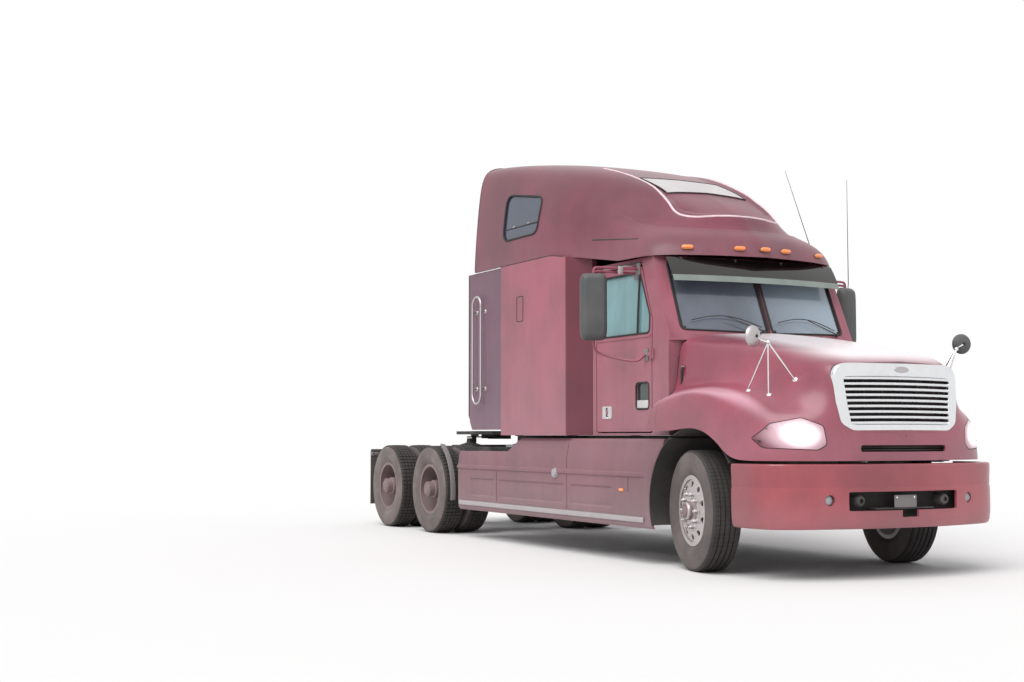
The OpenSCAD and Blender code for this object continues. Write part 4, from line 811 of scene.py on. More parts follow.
def makeFrontHub(centre, out, tag, body):
    # Polished hub cap, lug nuts with their covers, the rim's bright face and its valve
    form = Form()
    form.use("steelWheel").lathe([(0.0, 0.186), (0.030, 0.186), (0.038, 0.183), (0.041, 0.179), (0.060, 0.178),
                                  (0.066, 0.174), (0.071, 0.160), (0.079, 0.155), (0.079, 0.131)], centre, out, 40)
    for spot in spokes(centre, out, 0.176, 0.051, 8):
        form.bolt(spot, out, 0.006, 0.007)
    form.use("satin")
    for spot in spokes(centre, out, 0.1175, 0.143, 10):
        form.bolt(spot, out, 0.0185, 0.036)
        form.lathe([(0.0, 0.048), (0.008, 0.047), (0.012, 0.042), (0.0135, 0.030)], spot, out, 12)
    form.make("hub_cap_" + tag, "satin", body, "rim", sharp=30)
    plate = Form()
    plate.lathe([(0.106, 0.119), (0.110, 0.1215), (0.172, 0.1215), (0.176, 0.119)], centre, out, 60)
    plate.make("hub_face_" + tag, "alloy", body, "rim", closed=False)
    spot = spokes(centre, out, 0.085, 0.215, 5)[0]
    valve = Form().tube([spot, spot + out * 0.03, spot + out * 0.055 + Vector((0, 0, 0.012))], 0.004, 8)
    valve.make("valve_" + tag, "chrome", body, "rim")


def makeDriveHub(centre, out, tag, body):
    # Axle flange with its studs and the wheel nuts
    form = Form()
    form.lathe([(0.0, 0.3325), (0.022, 0.332), (0.050, 0.330), (0.062, 0.326), (0.072, 0.318), (0.0895, 0.316),
                (0.0895, 0.300), (0.0895, 0.255)], centre, out, 40)
    for spot in spokes(centre, out, 0.3155, 0.0785, 8):
        form.bolt(spot, out, 0.0065, 0.009)
    form.make("axle_flange_" + tag, "steelWheel", body, "rim_dusty", sharp=30)
    nuts = Form()
    for spot in spokes(centre, out, 0.0095, 0.143, 10):
        nuts.bolt(spot, out, 0.0185, 0.042)
    nuts.make("wheel_nuts_" + tag, "steelWheel", body, "rim_dusty", sharp=30)


for sideName, side in (("right", -1), ("left", 1)):
    body = "steer_wheel_" + sideName
    centre, out = frontPlace(side)
    makeTyre("front_tyre_" + sideName, body, centre, out, [0.0], 84, False, "steer_tyre_" + sideName)
    makeFrontHub(centre, out, sideName, body)
    dressNode("steer_rim_" + sideName, "alloy", 0.003)
    dressNode("knuckle_" + sideName, "chassis", 0.005)
    for row, letter in enumerate("fr"):
        tag = letter + sideName[0]
        body = "drive_wheels_" + tag
        centre = Vector((side * wheelPlaces["dual"], wheelPlaces["drive"][row], wheelPlaces["height"]))
        half = wheelPlaces["halfPitch"]
        makeTyre("twin_tyres_" + tag, body, centre, (side, 0, 0), [-half, half], 66, True, "drive_tyres_" + tag)
        makeDriveHub(centre, Vector((side, 0, 0)), tag, body)
        dressNode("drive_rims_" + tag, "steelWheel", 0.003)
print("stage: wheels")


# Frame, axles and what hangs on them

for look, bevel, names in (("chassis", 0.003, ["frame"]), ("cast", 0.006, ["front_axle", "drive_axles", "fifth_wheel"]),
                           ("cast", 0.005, ["rear_suspension"]), ("cast", 0.008, ["powertrain"]),
                           ("cast", 0.004, ["radiator", "exhaust"]), ("tank", 0.006, ["fuel_tanks"]),
                           ("chassis", 0.005, ["air_tanks"]), ("tank", 0.003, ["deck_plate"]),
                           ("rubber", 0.002, ["mud_flaps"]), ("chassis", 0.004, ["fifth_wheel_base"]),
                           ("liner", 0.002, ["wheel_liners"]), ("cast", 0.003, ["bumper_lamps"])):
    for name in names:
        dressNode(name, look, bevel)


def makeTank(side, tag):
    # Rubber under the straps and domed ends
    form = Form()
    x, z = side * 0.840, 0.700
    for s0, s1 in ((3.394, 3.466), (4.444, 4.516)):
        form.use("seal").lathe([(0.3005, s0), (0.3035, s0), (0.3035, s1), (0.3005, s1)], (x, 0, z), (0, 1, 0), 64)
        form.use("chrome").bolt((x + side * 0.02, (s0 + s1) / 2, 1.006), (0, 0, 1), 0.011, 0.016)
    form.use("tank")
    for s, way in ((3.150, -1), (4.750, 1)):
        form.lathe([(0.0, 0.006), (0.10, 0.0055), (0.20, 0.004), (0.27, 0.002), (0.297, 0.0)], (x, s, z), (0, way, 0), 64)
        form.lathe([(0.292, 0.0), (0.298, 0.004), (0.3003, -0.003)], (x, s, z), (0, way, 0), 64)
    form.make("tank_trim_" + tag, "tank", "chassis", "tank", closed=False)


makeTank(-1, "right")
makeTank(1, "left")


def makeFrameBolts():
    # Bolt heads along the rails, at the cross members and hangers
    form = Form()
    for side in (-1, 1):
        for s in (0.42, 0.56, 1.95, 2.06, 2.98, 3.06, 4.27, 4.36, 5.72, 5.81, 6.23, 6.31, 6.60, 6.94, 7.40, 7.48, 7.92,
                  8.26, 8.40, 8.50):
            for z in (0.795, 0.875, 0.955):
                form.bolt((side * 0.432, s, z), (side, 0, 0), 0.011, 0.012)
    form.make("frame_bolts", "chassis", "chassis", "dark_steel")


makeFrameBolts()


def makeBrakeGear():
    # Brake chambers and their slack adjusters at each axle end, air lines along the rails
    form, lines = Form(), Form()
    for side in (-1, 1):
        x = side * 0.300
        for s in wheelPlaces["drive"]:
            form.lathe([(0.0, 0.0), (0.062, 0.0), (0.074, 0.010), (0.078, 0.060), (0.086, 0.064), (0.086, 0.076),
                        (0.078, 0.080), (0.076, 0.130), (0.060, 0.142), (0.0, 0.146)],
                       (x, s - 0.190, 0.650), (0, -1, 0.12), 32)
            form.tube([(x, s - 0.195, 0.650), (x, s - 0.120, 0.642)], 0.012, 10)
            form.tube([(x, s - 0.120, 0.642), (side * 0.320, s - 0.010, 0.560)], 0.010, 10)
        for k in range(2):
            lines.tube([(side * (0.448 + 0.008 * k), s, 0.830 + 0.024 * k + 0.004 * math.sin(s * 7 + k))
                        for s in np.linspace(5.0, 8.55, 30)], 0.009, 8)
    form.make("brake_chambers", "chassis", "chassis", "dark_steel")
    lines.make("air_lines", "black", "chassis", "black_plastic")


makeBrakeGear()


def makeFifthWheelTrim():
    # Release handle, the jaw's wear ring and the rims of the grease grooves
    form, grease = Form(), Form()
    form.tube([(-0.10, 7.30, 1.12), (-0.30, 7.24, 1.13), (-0.47, 7.22, 1.13), (-0.50, 7.20, 1.13), (-0.52, 7.13, 1.13)],
              0.009, 10)
    form.lathe([(0.0262, 0.0), (0.048, 0.0), (0.048, -0.006), (0.0262, -0.006)], (0, 7.380, 1.2005), (0, 0, 1), 40,
               start=-60, end=240)
    form.make("coupling_handle", "cast", "fifth_wheel", "dark_steel", closed=False)
    for side in (-1, 1):
        for x in (0.10, 0.19, 0.28):
            grease.tube([(side * x, s, 1.2003) for s in np.linspace(7.02, 7.58, 8)], 0.0035, 6)
    grease.make("grease_bands", "seal", "fifth_wheel", "dark_steel")


makeFifthWheelTrim()


def makeTailLamps():
    form = Form()
    for side in (-1, 1):
        for x, look in ((0.150, "red"), (0.260, "clear"), (0.370, "red")):
            spot, back = (side * x, 8.7305, 0.730), (0, 1, 0)
            form.use("seal").lathe([(0.046, 0.012), (0.0485, 0.012), (0.0485, 0.0), (0.046, 0.0)], spot, back, 36)
            form.use(look).lathe([(0.0, 0.0195), (0.020, 0.019), (0.036, 0.016), (0.043, 0.010), (0.046, 0.0)],
                                 spot, back, 36)
    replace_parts(form.make("tail_lamp_lenses", "red", "chassis", "red_lamp"), "tail_lamps")


makeTailLamps()


def makeMudFlapTrim():
    # Bolted strip and weights on each flap
    form = Form()
    for side in (-1, 1):
        x0, x1 = side * 0.585, side * 1.198
        form.use("satin").box((x0, 8.678, 0.885), (x1, 8.685, 0.935), 0.002)
        for k in range(6):
            form.use("chassis").bolt((side * (0.62 + 0.108 * k), 8.678, 0.910), (0, -1, 0), 0.008, 0.008)
        form.use("satin").box((x0, 8.6945, 0.262), (x1, 8.698, 0.300), 0.001)
    form.make("flap_strips", "satin", "chassis", "rubber")


makeMudFlapTrim()
print("stage: frame")


# Roof: a fine skin from the same net as the source's, cut along the seam and for the bunk windows

sleeperX, seamTop, cabTop = 1.210, 2.960, 2.790
roofShape = {
    "thickness": 0.028,
    "window": [(4.018, 3.230), (4.789, 3.230), (4.753, 3.725), (3.973, 3.598)],
    "windowCorner": 0.11,
    "ledge": 0.034, "crease": 0.014,         # depths of the upper and the lower moulded line
    "ledgeLine": [(0.72, 4.60), (0.68, 4.10), (0.63, 3.62), (0.585, 3.30), (0.555, 3.02), (0.550, 2.74), (0.575, 2.48),
                  (0.588, 2.39), (0.556, 2.30), (0.450, 2.205), (0.260, 2.138), (0.0, 2.112)],
    "trim": 45,
    "crown": 4160,
    "back": 5480,
}


def roofSeam(s):
    # Height of the line where the roof meets the sides
    return cabTop + (seamTop - cabTop) * min(max((s - 2.6) / 1.1, 0), 1)


def roofNet():
    top, back, cut = roofShape["crown"], roofShape["back"], roofShape["trim"]
    w, low, high = 1210, 2790.3 - cut, 2960 - cut
    return [
        [(w + 6, back, high), (w - 6, back, 3200), (w - 24, back - 10, 3500), (w - 44, back - 30, 3800),
         (1136, back - 50, top - 110), (1015, back - 60, top - 4), (700, back - 70, top - 6), (350, back - 75, top),
         (0, back - 75, top)],
        [(w + 2, 4950, high), (w - 4, 4950, 3190), (w - 22, 4945, 3480), (w - 46, 4940, 3760), (1130, 4930, top - 160),
         (1000, 4920, top - 56), (700, 4910, top - 38), (350, 4910, top - 22), (0, 4910, top - 18)],
        [(w, 4250, high), (w - 2, 4250, 3170), (w - 20, 4240, 3440), (w - 58, 4230, 3690), (1060, 4210, 3890),
         (890, 4190, 3985), (600, 4160, 4014), (300, 4150, 4024), (0, 4150, 4028)],
        [(w - 4, 3680, high), (w - 6, 3660, 3130), (w - 24, 3640, 3340), (1135, 3610, 3550), (1030, 3560, 3710),
         (895, 3520, 3822), (640, 3470, 3858), (300, 3450, 3862), (0, 3440, 3862)],
        [(1140, 3200, roofSeam(3.2) * 1000 - cut), (1145, 3180, 2970), (1135, 3150, 3120), (1075, 3100, 3280),
         (940, 3050, 3410), (815, 3010, 3530), (650, 2970, 3662), (300, 2940, 3668), (0, 2930, 3670)],
        [(1080, 2640, low), (1082, 2630, 2890), (1060, 2610, 3000), (1000, 2620, 3100), (860, 2680, 3215),
         (755, 2700, 3370), (600, 2640, 3508), (300, 2590, 3512), (0, 2570, 3514)],
        [(1090, 2170, low), (1068, 2210, 2870), (1010, 2260, 2965), (920, 2330, 3050), (790, 2420, 3125),
         (690, 2470, 3250), (545, 2400, 3368), (280, 2350, 3374), (0, 2330, 3376)],
        [(985, 1985, low), (960, 2020, 2865), (890, 2070, 2960), (790, 2150, 3035), (660, 2230, 3095),
         (560, 2270, 3215), (450, 2250, 3288), (250, 2235, 3300), (0, 2225, 3303)],
        [(560, 1810, low), (545, 1838, 2860), (510, 1895, 2955), (450, 1970, 3022), (385, 2060, 3078),
         (325, 2115, 3195), (260, 2140, 3240), (150, 2152, 3252), (0, 2155, 3255)],
        [(0, 1740, low), (0, 1765, 2858), (0, 1828, 2952), (0, 1905, 3018), (0, 1995, 3072), (0, 2062, 3190),
         (0, 2085, 3215), (0, 2105, 3226), (0, 2125, 3236)]]


def smooth(value, low, high):
    t = min(max((value - low) / (high - low), 0.0), 1.0)
    return t * t * (3 - 2 * t)


def insideLine(x, s):
    # Distance in plan from the upper line, positive towards the roof's middle
    best = 9.0
    line = roofShape["ledgeLine"]
    for (x0, s0), (x1, s1) in zip(line, line[1:]):
        dx, ds = x1 - x0, s1 - s0
        t = min(max(((x - x0) * dx + (s - s0) * ds) / (dx * dx + ds * ds), 0.0), 1.0)
        far = math.hypot(x - x0 - dx * t, s - s0 - ds * t)
        if far < abs(best):
            best = far if (x - x0) * ds - (s - s0) * dx > 0 else -far
    return best


def ledgeDepth(point, j, i):
    # How far the skin is set back above the two lines that run round the roof's front
    x, s = point[0], point[1]
    upper = min(max(insideLine(x, s) / 0.062, 0.0), 1.0) * (1 - smooth(s, 3.30, 4.30)) if s < 4.30 else 0.0
    lower = smooth(j, 30.2, 31.4) * smooth(i, 34, 42)
    return upper * roofShape["ledge"] + lower * roofShape["crease"]


roofGrid = skinGrid(roofNet(), 12)
roofDepth = np.array([[ledgeDepth(point, j / 1.5, i / 1.5) for i, point in enumerate(row)]
                      for j, row in enumerate(roofGrid)])
roofGrid = roofGrid - skinNormals(roofGrid) * roofDepth[:, :, None]
roofGrid[np.abs(roofGrid[:, :, 0]) < 0.004, 0] = 0.0
roofNormal = skinNormals(roofGrid)


def sheetForm(grid, normal, outer, inner):
    # A closed moulding over the whole width, between two depths below its skin
    form = Form()
    n, m = grid.shape[:2]
    edges = [((i, j), (i + 1, j)) for i in range(n - 1) for j in (0, m - 1)]
    edges += [((i, j), (i, j + 1)) for j in range(m - 1) for i in (0, n - 1)]
    for side in (1, -1):
        made = []
        for depth in (outer, inner):
            layer = grid - normal * depth
            layer[np.abs(grid[:, :, 0]) < 1e-5, 0] = 0.0
            made.append(form.grid(layer * (side, 1, 1)))
        for (i, j), (k, h) in edges:
            if abs(grid[i][j][0]) + abs(grid[k][h][0]) > 1e-5:
                form.face([made[0][i][j], made[0][k][h], made[1][k][h], made[1][i][j]])
    return form


def surfaceTree(obj):
    return BVHTree.FromObject(obj, bpy.context.evaluated_depsgraph_get())


def dropOn(tree, start, direction):
    # Where a line meets a skin, in s coordinates, with the skin's normal there
    spot, normal = tree.ray_cast(Vector(station(start)), Vector(direction), 1.5)[:2]
    if spot is None:
        return None, None
    if normal.dot(Vector(direction)) > 0:
        normal = -normal
    return unstation(spot), normal


def beadOn(tree, form, points, direction, radius, lift=0.0, closed=False):
    # A cord of seal or trim laid on a skin along a line of points
    path = []
    for p in points:
        spot, normal = dropOn(tree, p, direction)
        if spot is not None:
            path.append(spot + normal * lift)
    form.tube(path, radius, 8, closed=closed)


def thicken(obj, thickness, offset=-1):
    solid = obj.modifiers.new("solid", "SOLIDIFY")
    solid.thickness = thickness
    solid.offset = offset
    return obj


def makeRoof():
    window = roundCorners(roofShape["window"], roofShape["windowCorner"])
    shell = sheetForm(roofGrid, roofNormal, 0.0, roofShape["thickness"]).make(
        "roof_shell", "paintRoof", body=None, sharp=30, merge=0.00001)
    seam, foot = 0.0003, 2.49
    below = [(1.5, foot), (1.5, cabTop + seam), (2.6, cabTop + seam), (3.7, seamTop + seam), (5.6, seamTop + seam),
             (5.6, foot)]
    finishShell(shell, [cutter(below, (-1.4, 1.4), byX), cutter(window, (0.9, 1.4), byX),
                        cutter(window, (-1.4, -0.9), byX)], "chassis", "roof_cap")

    # Panes follow the skin just inside it
    n, m = roofGrid.shape[:2]
    skin = BVHTree.FromPolygons(roofGrid.reshape(-1, 3).tolist(),
                                [(a * m + b, (a + 1) * m + b, (a + 1) * m + b + 1, a * m + b + 1)
                                 for a in range(n - 1) for b in range(m - 1)])
    panes = Form()
    centre = Vector((4.385, 3.440))
    for side in (-1, 1):
        rings = []
        for t in (1.0, 0.85, 0.65, 0.45, 0.25, 0.08):
            ring = []
            for point in between(grow(window, -0.004), 72, True):
                s, z = centre + (Vector(point) - centre) * t
                spot = skin.ray_cast(Vector((1.5, s, z)), Vector((-1, 0, 0)))[0]
                ring.append((side * (spot.x - 0.009), s, z))
            rings.append(ring)
        panes.face(panes.grid(rings, closedColumns=True)[-1])
    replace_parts(thicken(panes.make("bunk_panes", "bunkGlass", "chassis", "glass", closed=False), 0.006),
                "sleeper_windows")
    return shell


roofTree = surfaceTree(makeRoof())


def makeRoofTrim():
    # Seals, sliders' bars and latches of the bunk windows, and a dark cord over each door that paints the shade of its
    # recess
    seals, latches, slots = Form(), Form(), Form()
    window = roundCorners(roofShape["window"], roofShape["windowCorner"])
    for side in (-1, 1):
        inward = (-side, 0, 0)
        points = [(side * 1.5, s, z) for s, z in between(grow(window, 0.004), 90, True)]
        beadOn(roofTree, seals, points, inward, 0.011, 0.001, closed=True)
        seals.tube([(side * (sleeperX - 0.030), s, 3.345) for s in np.linspace(3.99, 4.76, 10)], 0.010, 8)
        for s in (4.22, 4.55):
            latches.box((side * 1.186 - 0.010, s - 0.022, 3.352), (side * 1.186 + 0.010, s + 0.022, 3.366), 0.003)
        # Painted shade: a dark cord stands for the shaded recess over the door
        path = [(side * 1.5, s, 2.976 + (s - 2.36) * 0.094) for s in np.linspace(2.36, 3.02, 16)]
        beadOn(roofTree, slots, path, inward, 0.009, -0.004)
    seals.make("bunk_window_seals", "seal", "chassis", "rubber")
    latches.make("bunk_window_latches", "satin", "chassis", "rim")
    slots.make("roof_recess_shade", "liner", "chassis", "rubber")


makeRoofTrim()


def makeRoofRib():
    # Narrow rib along the edge of the dished front; its pale colour is a painted highlight
    rib = Form()
    right = [(-x, s, 4.4) for x, s in roofShape["ledgeLine"][2:]]
    line = splinePoints(right + [(-x, s, z) for x, s, z in right[-2::-1]], 10)
    beadOn(roofTree, rib, line, (0, 0, -1), 0.013, -0.004)
    rib.make("roof_rib", "paintRibHighlight", "chassis", "paint")


makeRoofRib()


def makeRoofAerial():
    # Whip aerial leaning back beside the roof
    whip = Form()
    foot, normal = dropOn(roofTree, (1.5, 2.400, 2.930), (-1, 0, 0))
    whip.use("black").lathe([(0.0, 0.024), (0.008, 0.022), (0.014, 0.012), (0.018, 0.0)], foot, normal, 20)
    start = foot + normal * 0.016
    tip = Vector((start.x + 0.010, 2.840, 3.860))
    whip.tube([start.lerp(tip, k / 8) for k in range(9)], list(np.linspace(0.0048, 0.0022, 9)), 8)
    whip.make("aerial_roof", "black", "chassis", "black_plastic")


makeRoofAerial()


def makeRearSeal():
    # Grey rubber edge round the open back of the roof
    top = roofShape["crown"] / 1000 - 0.018
    path = [Vector((x - 0.012, s - 0.004, min(z - 0.006, top))) for x, s, z in roofGrid[:, 0] if z > seamTop + 0.02]
    whole = path + [Vector((-p.x, p.y, p.z)) for p in path[::-1]]
    # Points of the middle line come twice
    clean = [whole[0]]
    for p in whole[1:]:
        if (p - clean[-1]).length > 0.004:
            clean.append(p)
    Form().tube(clean, 0.016, 8).make("roof_rear_edge", "rubber", "chassis", "rubber")


makeRearSeal()


def makeMarkers():
    # Five amber lamps on the brow, each a lens on a dark foot
    lenses, feet = Form(), Form()
    for x in (-0.745, -0.26, 0.0, 0.26, 0.745):
        spot, normal = dropOn(roofTree, (x, 1.2, 2.857), (0, 1, 0))
        flat = Vector((0, 0, 1)).cross(normal).normalized()
        up = normal.cross(flat)
        for form, low, high, width, tall in ((feet, -0.006, 0.006, 0.060, 0.023), (lenses, 0.006, 0.034, 0.054, 0.0165)):
            form.bar([[spot + flat * (u * width * shrink) + up * (v * tall * shrink) + normal * t
                       for u, v in circle(28, (0.5, 0.6))]
                      for t, shrink in ((low, 1.0), (high - 0.006, 0.97), (high - 0.002, 0.90), (high, 0.76))])
    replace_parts(lenses.make("marker_lenses", "amber", "chassis", "amber", sharp=50), "roof_lamps")
    feet.make("marker_feet", "black", "chassis", "black_plastic")


makeMarkers()


def makeSkylight():
    # Pale panel in a thin dark outline, in the dished front of the roof
    rows = []
    for s in np.linspace(2.70, 3.20, 11):
        spots = [dropOn(roofTree, (x, s, 4.4), (0, 0, -1)) for x in np.linspace(-0.46, 0.46, 11)]
        rows.append([spot + normal * 0.0035 for spot, normal in spots])
    sheet = Form()
    sheet.grid(rows)
    thicken(sheet.make("skylight", "pale", "chassis", "paint", closed=False), 0.006, 0)
    loop = rows[0] + [row[-1] for row in rows[1:]] + rows[-1][-2::-1] + [row[0] for row in rows[-2:0:-1]]
    Form().tube(loop, 0.009, 8, closed=True).make("skylight_seal", "seal", "chassis", "rubber")


makeSkylight()
print("stage: roof")


# Hood: a fine skin from the source's net, cut for the lamps, the chin slot and the cowl

hoodShape = {
    "thickness": 0.018,
    "low": 0.946,
    "lamp": [(0.720, 1.075), (0.790, 1.035), (1.120, 1.050), (1.150, 1.130), (1.060, 1.245), (0.880, 1.290),
             (0.740, 1.225)],
    "lampCorner": 0.034,
    "pivot": (0.395, -0.044, 0.943),
}


def hoodNet():
    x, low = 1204, 948
    return [
        [(x - 14, 1925, 1190), (x - 10, 1915, 1270), (1184, 1865, 1405), (1122, 1810, 1478), (990, 1775, 1515),
         (965, 1765, 1720), (945, 1760, 1930), (890, 1745, 2035), (500, 1650, 2062), (0, 1610, 2075)],
        [(x, 1690, 1185), (x + 4, 1685, 1290), (1196, 1660, 1448), (1142, 1630, 1516), (985, 1600, 1535),
         (945, 1590, 1740), (922, 1585, 1920), (865, 1570, 2018), (480, 1480, 2045), (0, 1440, 2058)],
        [(x, 1460, 1195), (x + 4, 1460, 1325), (1200, 1440, 1487), (1150, 1420, 1544), (975, 1390, 1550),
         (915, 1370, 1745), (890, 1365, 1895), (835, 1350, 1990), (460, 1270, 2018), (0, 1235, 2030)],
        [(x, 1240, 1220), (x + 4, 1240, 1345), (1200, 1225, 1505), (1150, 1200, 1554), (962, 1160, 1558),
         (885, 1130, 1735), (855, 1125, 1860), (800, 1110, 1952), (440, 1040, 1980), (0, 1005, 1992)],
        [(x, 1020, 1190), (x + 4, 1020, 1325), (1198, 1000, 1485), (1142, 970, 1537), (934, 920, 1552),
         (845, 890, 1715), (812, 880, 1822), (755, 865, 1910), (420, 790, 1938), (0, 750, 1950)],
        [(x, 810, 1075), (x + 2, 810, 1235), (1186, 780, 1417), (1114, 730, 1488), (900, 645, 1528),
         (798, 620, 1685), (762, 610, 1780), (705, 600, 1865), (400, 540, 1894), (0, 505, 1905)],
        [(x - 4, 665, low), (x - 6, 640, 1120), (1158, 560, 1316), (1066, 480, 1404), (862, 395, 1455),
         (750, 375, 1630), (712, 368, 1730), (655, 355, 1822), (380, 300, 1852), (0, 268, 1863)],
        [(1170, 340, low), (1146, 322, 1080), (1072, 265, 1225), (966, 215, 1315), (798, 178, 1378),
         (712, 180, 1555), (676, 180, 1680), (612, 168, 1780), (362, 120, 1812), (0, 95, 1824)],
        [(960, 105, low), (935, 92, 1055), (870, 70, 1170), (790, 58, 1250), (708, 56, 1328),
         (664, 72, 1500), (652, 92, 1645), (575, 96, 1750), (334, 62, 1778), (0, 42, 1790)],
        [(500, -48, low), (486, -58, 1050), (472, -50, 1140), (530, -26, 1215), (602, 0, 1300),
         (632, 26, 1480), (630, 52, 1645), (550, 50, 1728), (300, 16, 1756), (0, 2, 1766)],
        [(0, -62, low), (0, -78, 1040), (0, -74, 1120), (0, -62, 1196), (490, -44, 1226),
         (604, -8, 1420), (608, 16, 1640), (520, 24, 1712), (285, -4, 1738), (0, -16, 1748)]]


hoodGrid = skinGrid(hoodNet(), 8)
hoodNormal = skinNormals(hoodGrid)

grilleShape = {
    "outline": [(-0.500, 1.190), (0.500, 1.190), (0.598, 1.250), (0.632, 1.420), (0.640, 1.640), (0.612, 1.712),
                (0.540, 1.734), (-0.540, 1.734), (-0.612, 1.712), (-0.640, 1.640), (-0.632, 1.420), (-0.598, 1.250)],
    "opening": [(-0.505, 1.240), (0.505, 1.240), (0.552, 1.622), (-0.552, 1.622)],
    "face": -0.066, "rake": 4.5, "foot": 1.190, "bars": 9,
}


def bow(x):
    return 0.066 * (x / 0.620) ** 2


def onGrille(x, depth, z):
    # A point of the raked grille plane: depth runs back from its bowed face
    rake = math.radians(grilleShape["rake"])
    s, h = bow(x) + depth, z - grilleShape["foot"]
    return (x, grilleShape["face"] + s * math.cos(rake) + h * math.sin(rake),
            grilleShape["foot"] - s * math.sin(rake) + h * math.cos(rake))


def screenAt(x, z, d=0.0):
    # The windscreen's surface, moved back by d
    return 1.678 + d + 0.120 * x ** 2 + 0.42 * (z - 2.060)


def mirrored(outline):
    return [(-x, z) for x, z in outline]


def makeHood():
    shell = sheetForm(hoodGrid, hoodNormal, 0.0, hoodShape["thickness"]).make(
        "hood_shell", "paintHood", body=None, sharp=30, merge=0.00001)
    lamp = roundCorners(hoodShape["lamp"], hoodShape["lampCorner"])
    # Below its lower edge and where the cab stands
    low = Form()
    low.box((-2, -0.4, 0.5), (2, 4, hoodShape["low"]))
    low.box((-1.058, 1.782, 0.948), (1.058, 2.09, 2.060))
    # Under the windscreen
    slab = Form()
    slab.bar([[(x, screenAt(x, z, back), z) for z, back in ((1.980, -0.008), (2.120, -0.008), (2.120, 0.292),
                                                            (1.980, 0.292))] for x in np.linspace(-1.11, 1.11, 25)])
    mouth = Form()
    outline = grow(roundCorners(grilleShape["outline"], 0.07), 0.0005)
    mouth.bar([[onGrille(x, depth - bow(x), z) for x, z in outline] for depth in (-0.060, 0.120)])
    finishShell(shell, [cutter(lamp, (0.0, 0.62), byS), cutter(mirrored(lamp), (0.0, 0.62), byS),
                        cutter(panel(-0.440, 1.020, 0.440, 1.072, 0.02), (-0.2, 0.2), byS),
                        low.make("cutter", "liner", body=None), slab.make("cutter", "liner", body=None, merge=0.0001),
                        mouth.make("cutter", "liner", body=None)], "hood", "hood")
    # Rings over the front wheels, and the lugs of the pivots
    inside = Form()
    over = (1.240, 0.560)
    ring = arc(over, 0.6545, 64, 146, 30) + arc(over, 0.648, 146, 64, 30)
    x, s, z = hoodShape["pivot"]
    lug = [(s + 0.020, z - 0.006), (s + 0.040, z - 0.006), (s + 0.052, z + 0.040), (s + 0.052, z + 0.066),
           (s + 0.030, z + 0.066)]
    for side in (-1, 1):
        inside.prism(ring, (side * 0.640, side * 1.186), byX)
        inside.prism(lug, (side * (x + 0.020), side * (x + 0.036)), byX)
    inside.make("hood_liners", "liner", "hood", "black_plastic")
    return shell


hoodTree = surfaceTree(makeHood())


def rayTo(line, middle, c, s):
    # The outline's point seen from the middle in a direction
    best = 0.0
    for i in range(len(line)):
        ax, az = line[i - 1][0] - middle[0], line[i - 1][1] - middle[1]
        dx, dz = line[i][0] - line[i - 1][0], line[i][1] - line[i - 1][1]
        det = c * dz - s * dx
        if abs(det) > 1e-12 and -1e-6 <= (ax * s - az * c) / det <= 1 + 1e-6:
            best = max(best, (ax * dz - az * dx) / det)
    return middle[0] + c * best, middle[1] + s * best


def makeGrilleSurround():
    form = Form()
    middle = (0, 1.45)
    outer = [rayTo(roundCorners(grilleShape["outline"], 0.07), middle, c, s) for c, s in circle(160)]
    opening = [rayTo(roundCorners(grilleShape["opening"], 0.024, 5), middle, c, s) for c, s in circle(160)]
    # Section from its outer back edge over the crown into the opening: share of the width, depth
    section = [(0.0, 0.040), (0.0, 0.010), (0.03, 0.003), (0.10, 0.0), (0.80, 0.0), (0.93, 0.004), (1.0, 0.016),
               (1.0, 0.046)]
    rows = [[onGrille(o[0] + (i[0] - o[0]) * t, depth, o[1] + (i[1] - o[1]) * t) for o, i in zip(outer, opening)]
            for t, depth in section]
    form.grid(rows, closedRows=True, closedColumns=True)
    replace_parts(form.make("grille_surround", "chrome", "hood", "chrome", sharp=50), "grille")
    # Bare oval place in the middle of its top bar
    plate = Form()
    plate.bar([[onGrille(0.075 * r * c, depth, 1.680 + 0.026 * r * s) for c, s in circle(48)]
               for depth, r in ((0.0, 1.0), (-0.004, 0.985), (-0.0055, 0.94))])
    plate.make("grille_boss", "satin", "hood", "chrome")


makeGrilleSurround()


def makeGrilleBars():
    bars, screen = Form(), Form()
    low, high = 1.236, 1.626
    for z in np.linspace(1.252, 1.610, grilleShape["bars"]):
        reach = 0.517 + (0.552 - 0.505) * (z - 1.240) / 0.382
        bars.use("chrome").bar([[onGrille(x, 0.018 - 0.014 * c, z + 0.0120 * s + 0.004 * c) for c, s in circle(14)]
                                for x in np.linspace(-reach, reach, 41)])
    for x in (-0.36, -0.18, 0.0, 0.18, 0.36):
        bars.use("liner").tube([onGrille(x, 0.034, low), onGrille(x, 0.034, high)], 0.004, 8)
    bars.make("grille_bars", "chrome", "hood", "chrome", sharp=60)
    for z in np.linspace(low, high, 40):
        screen.tube([onGrille(x, 0.046, z) for x in np.linspace(-0.56, 0.56, 13)], 0.0016, 4, caps=False)
    for x in np.linspace(-0.555, 0.555, 90):
        screen.tube([onGrille(x, 0.0455, low), onGrille(x, 0.0455, high)], 0.0014, 4, caps=False)
    screen.make("bug_screen", "seal", "hood", "chrome", closed=False)


makeGrilleBars()

bowls = [(0.850, 1.155, 0.070), (1.000, 1.140, 0.062)]    # x, z and radius of a headlamp's two bowls


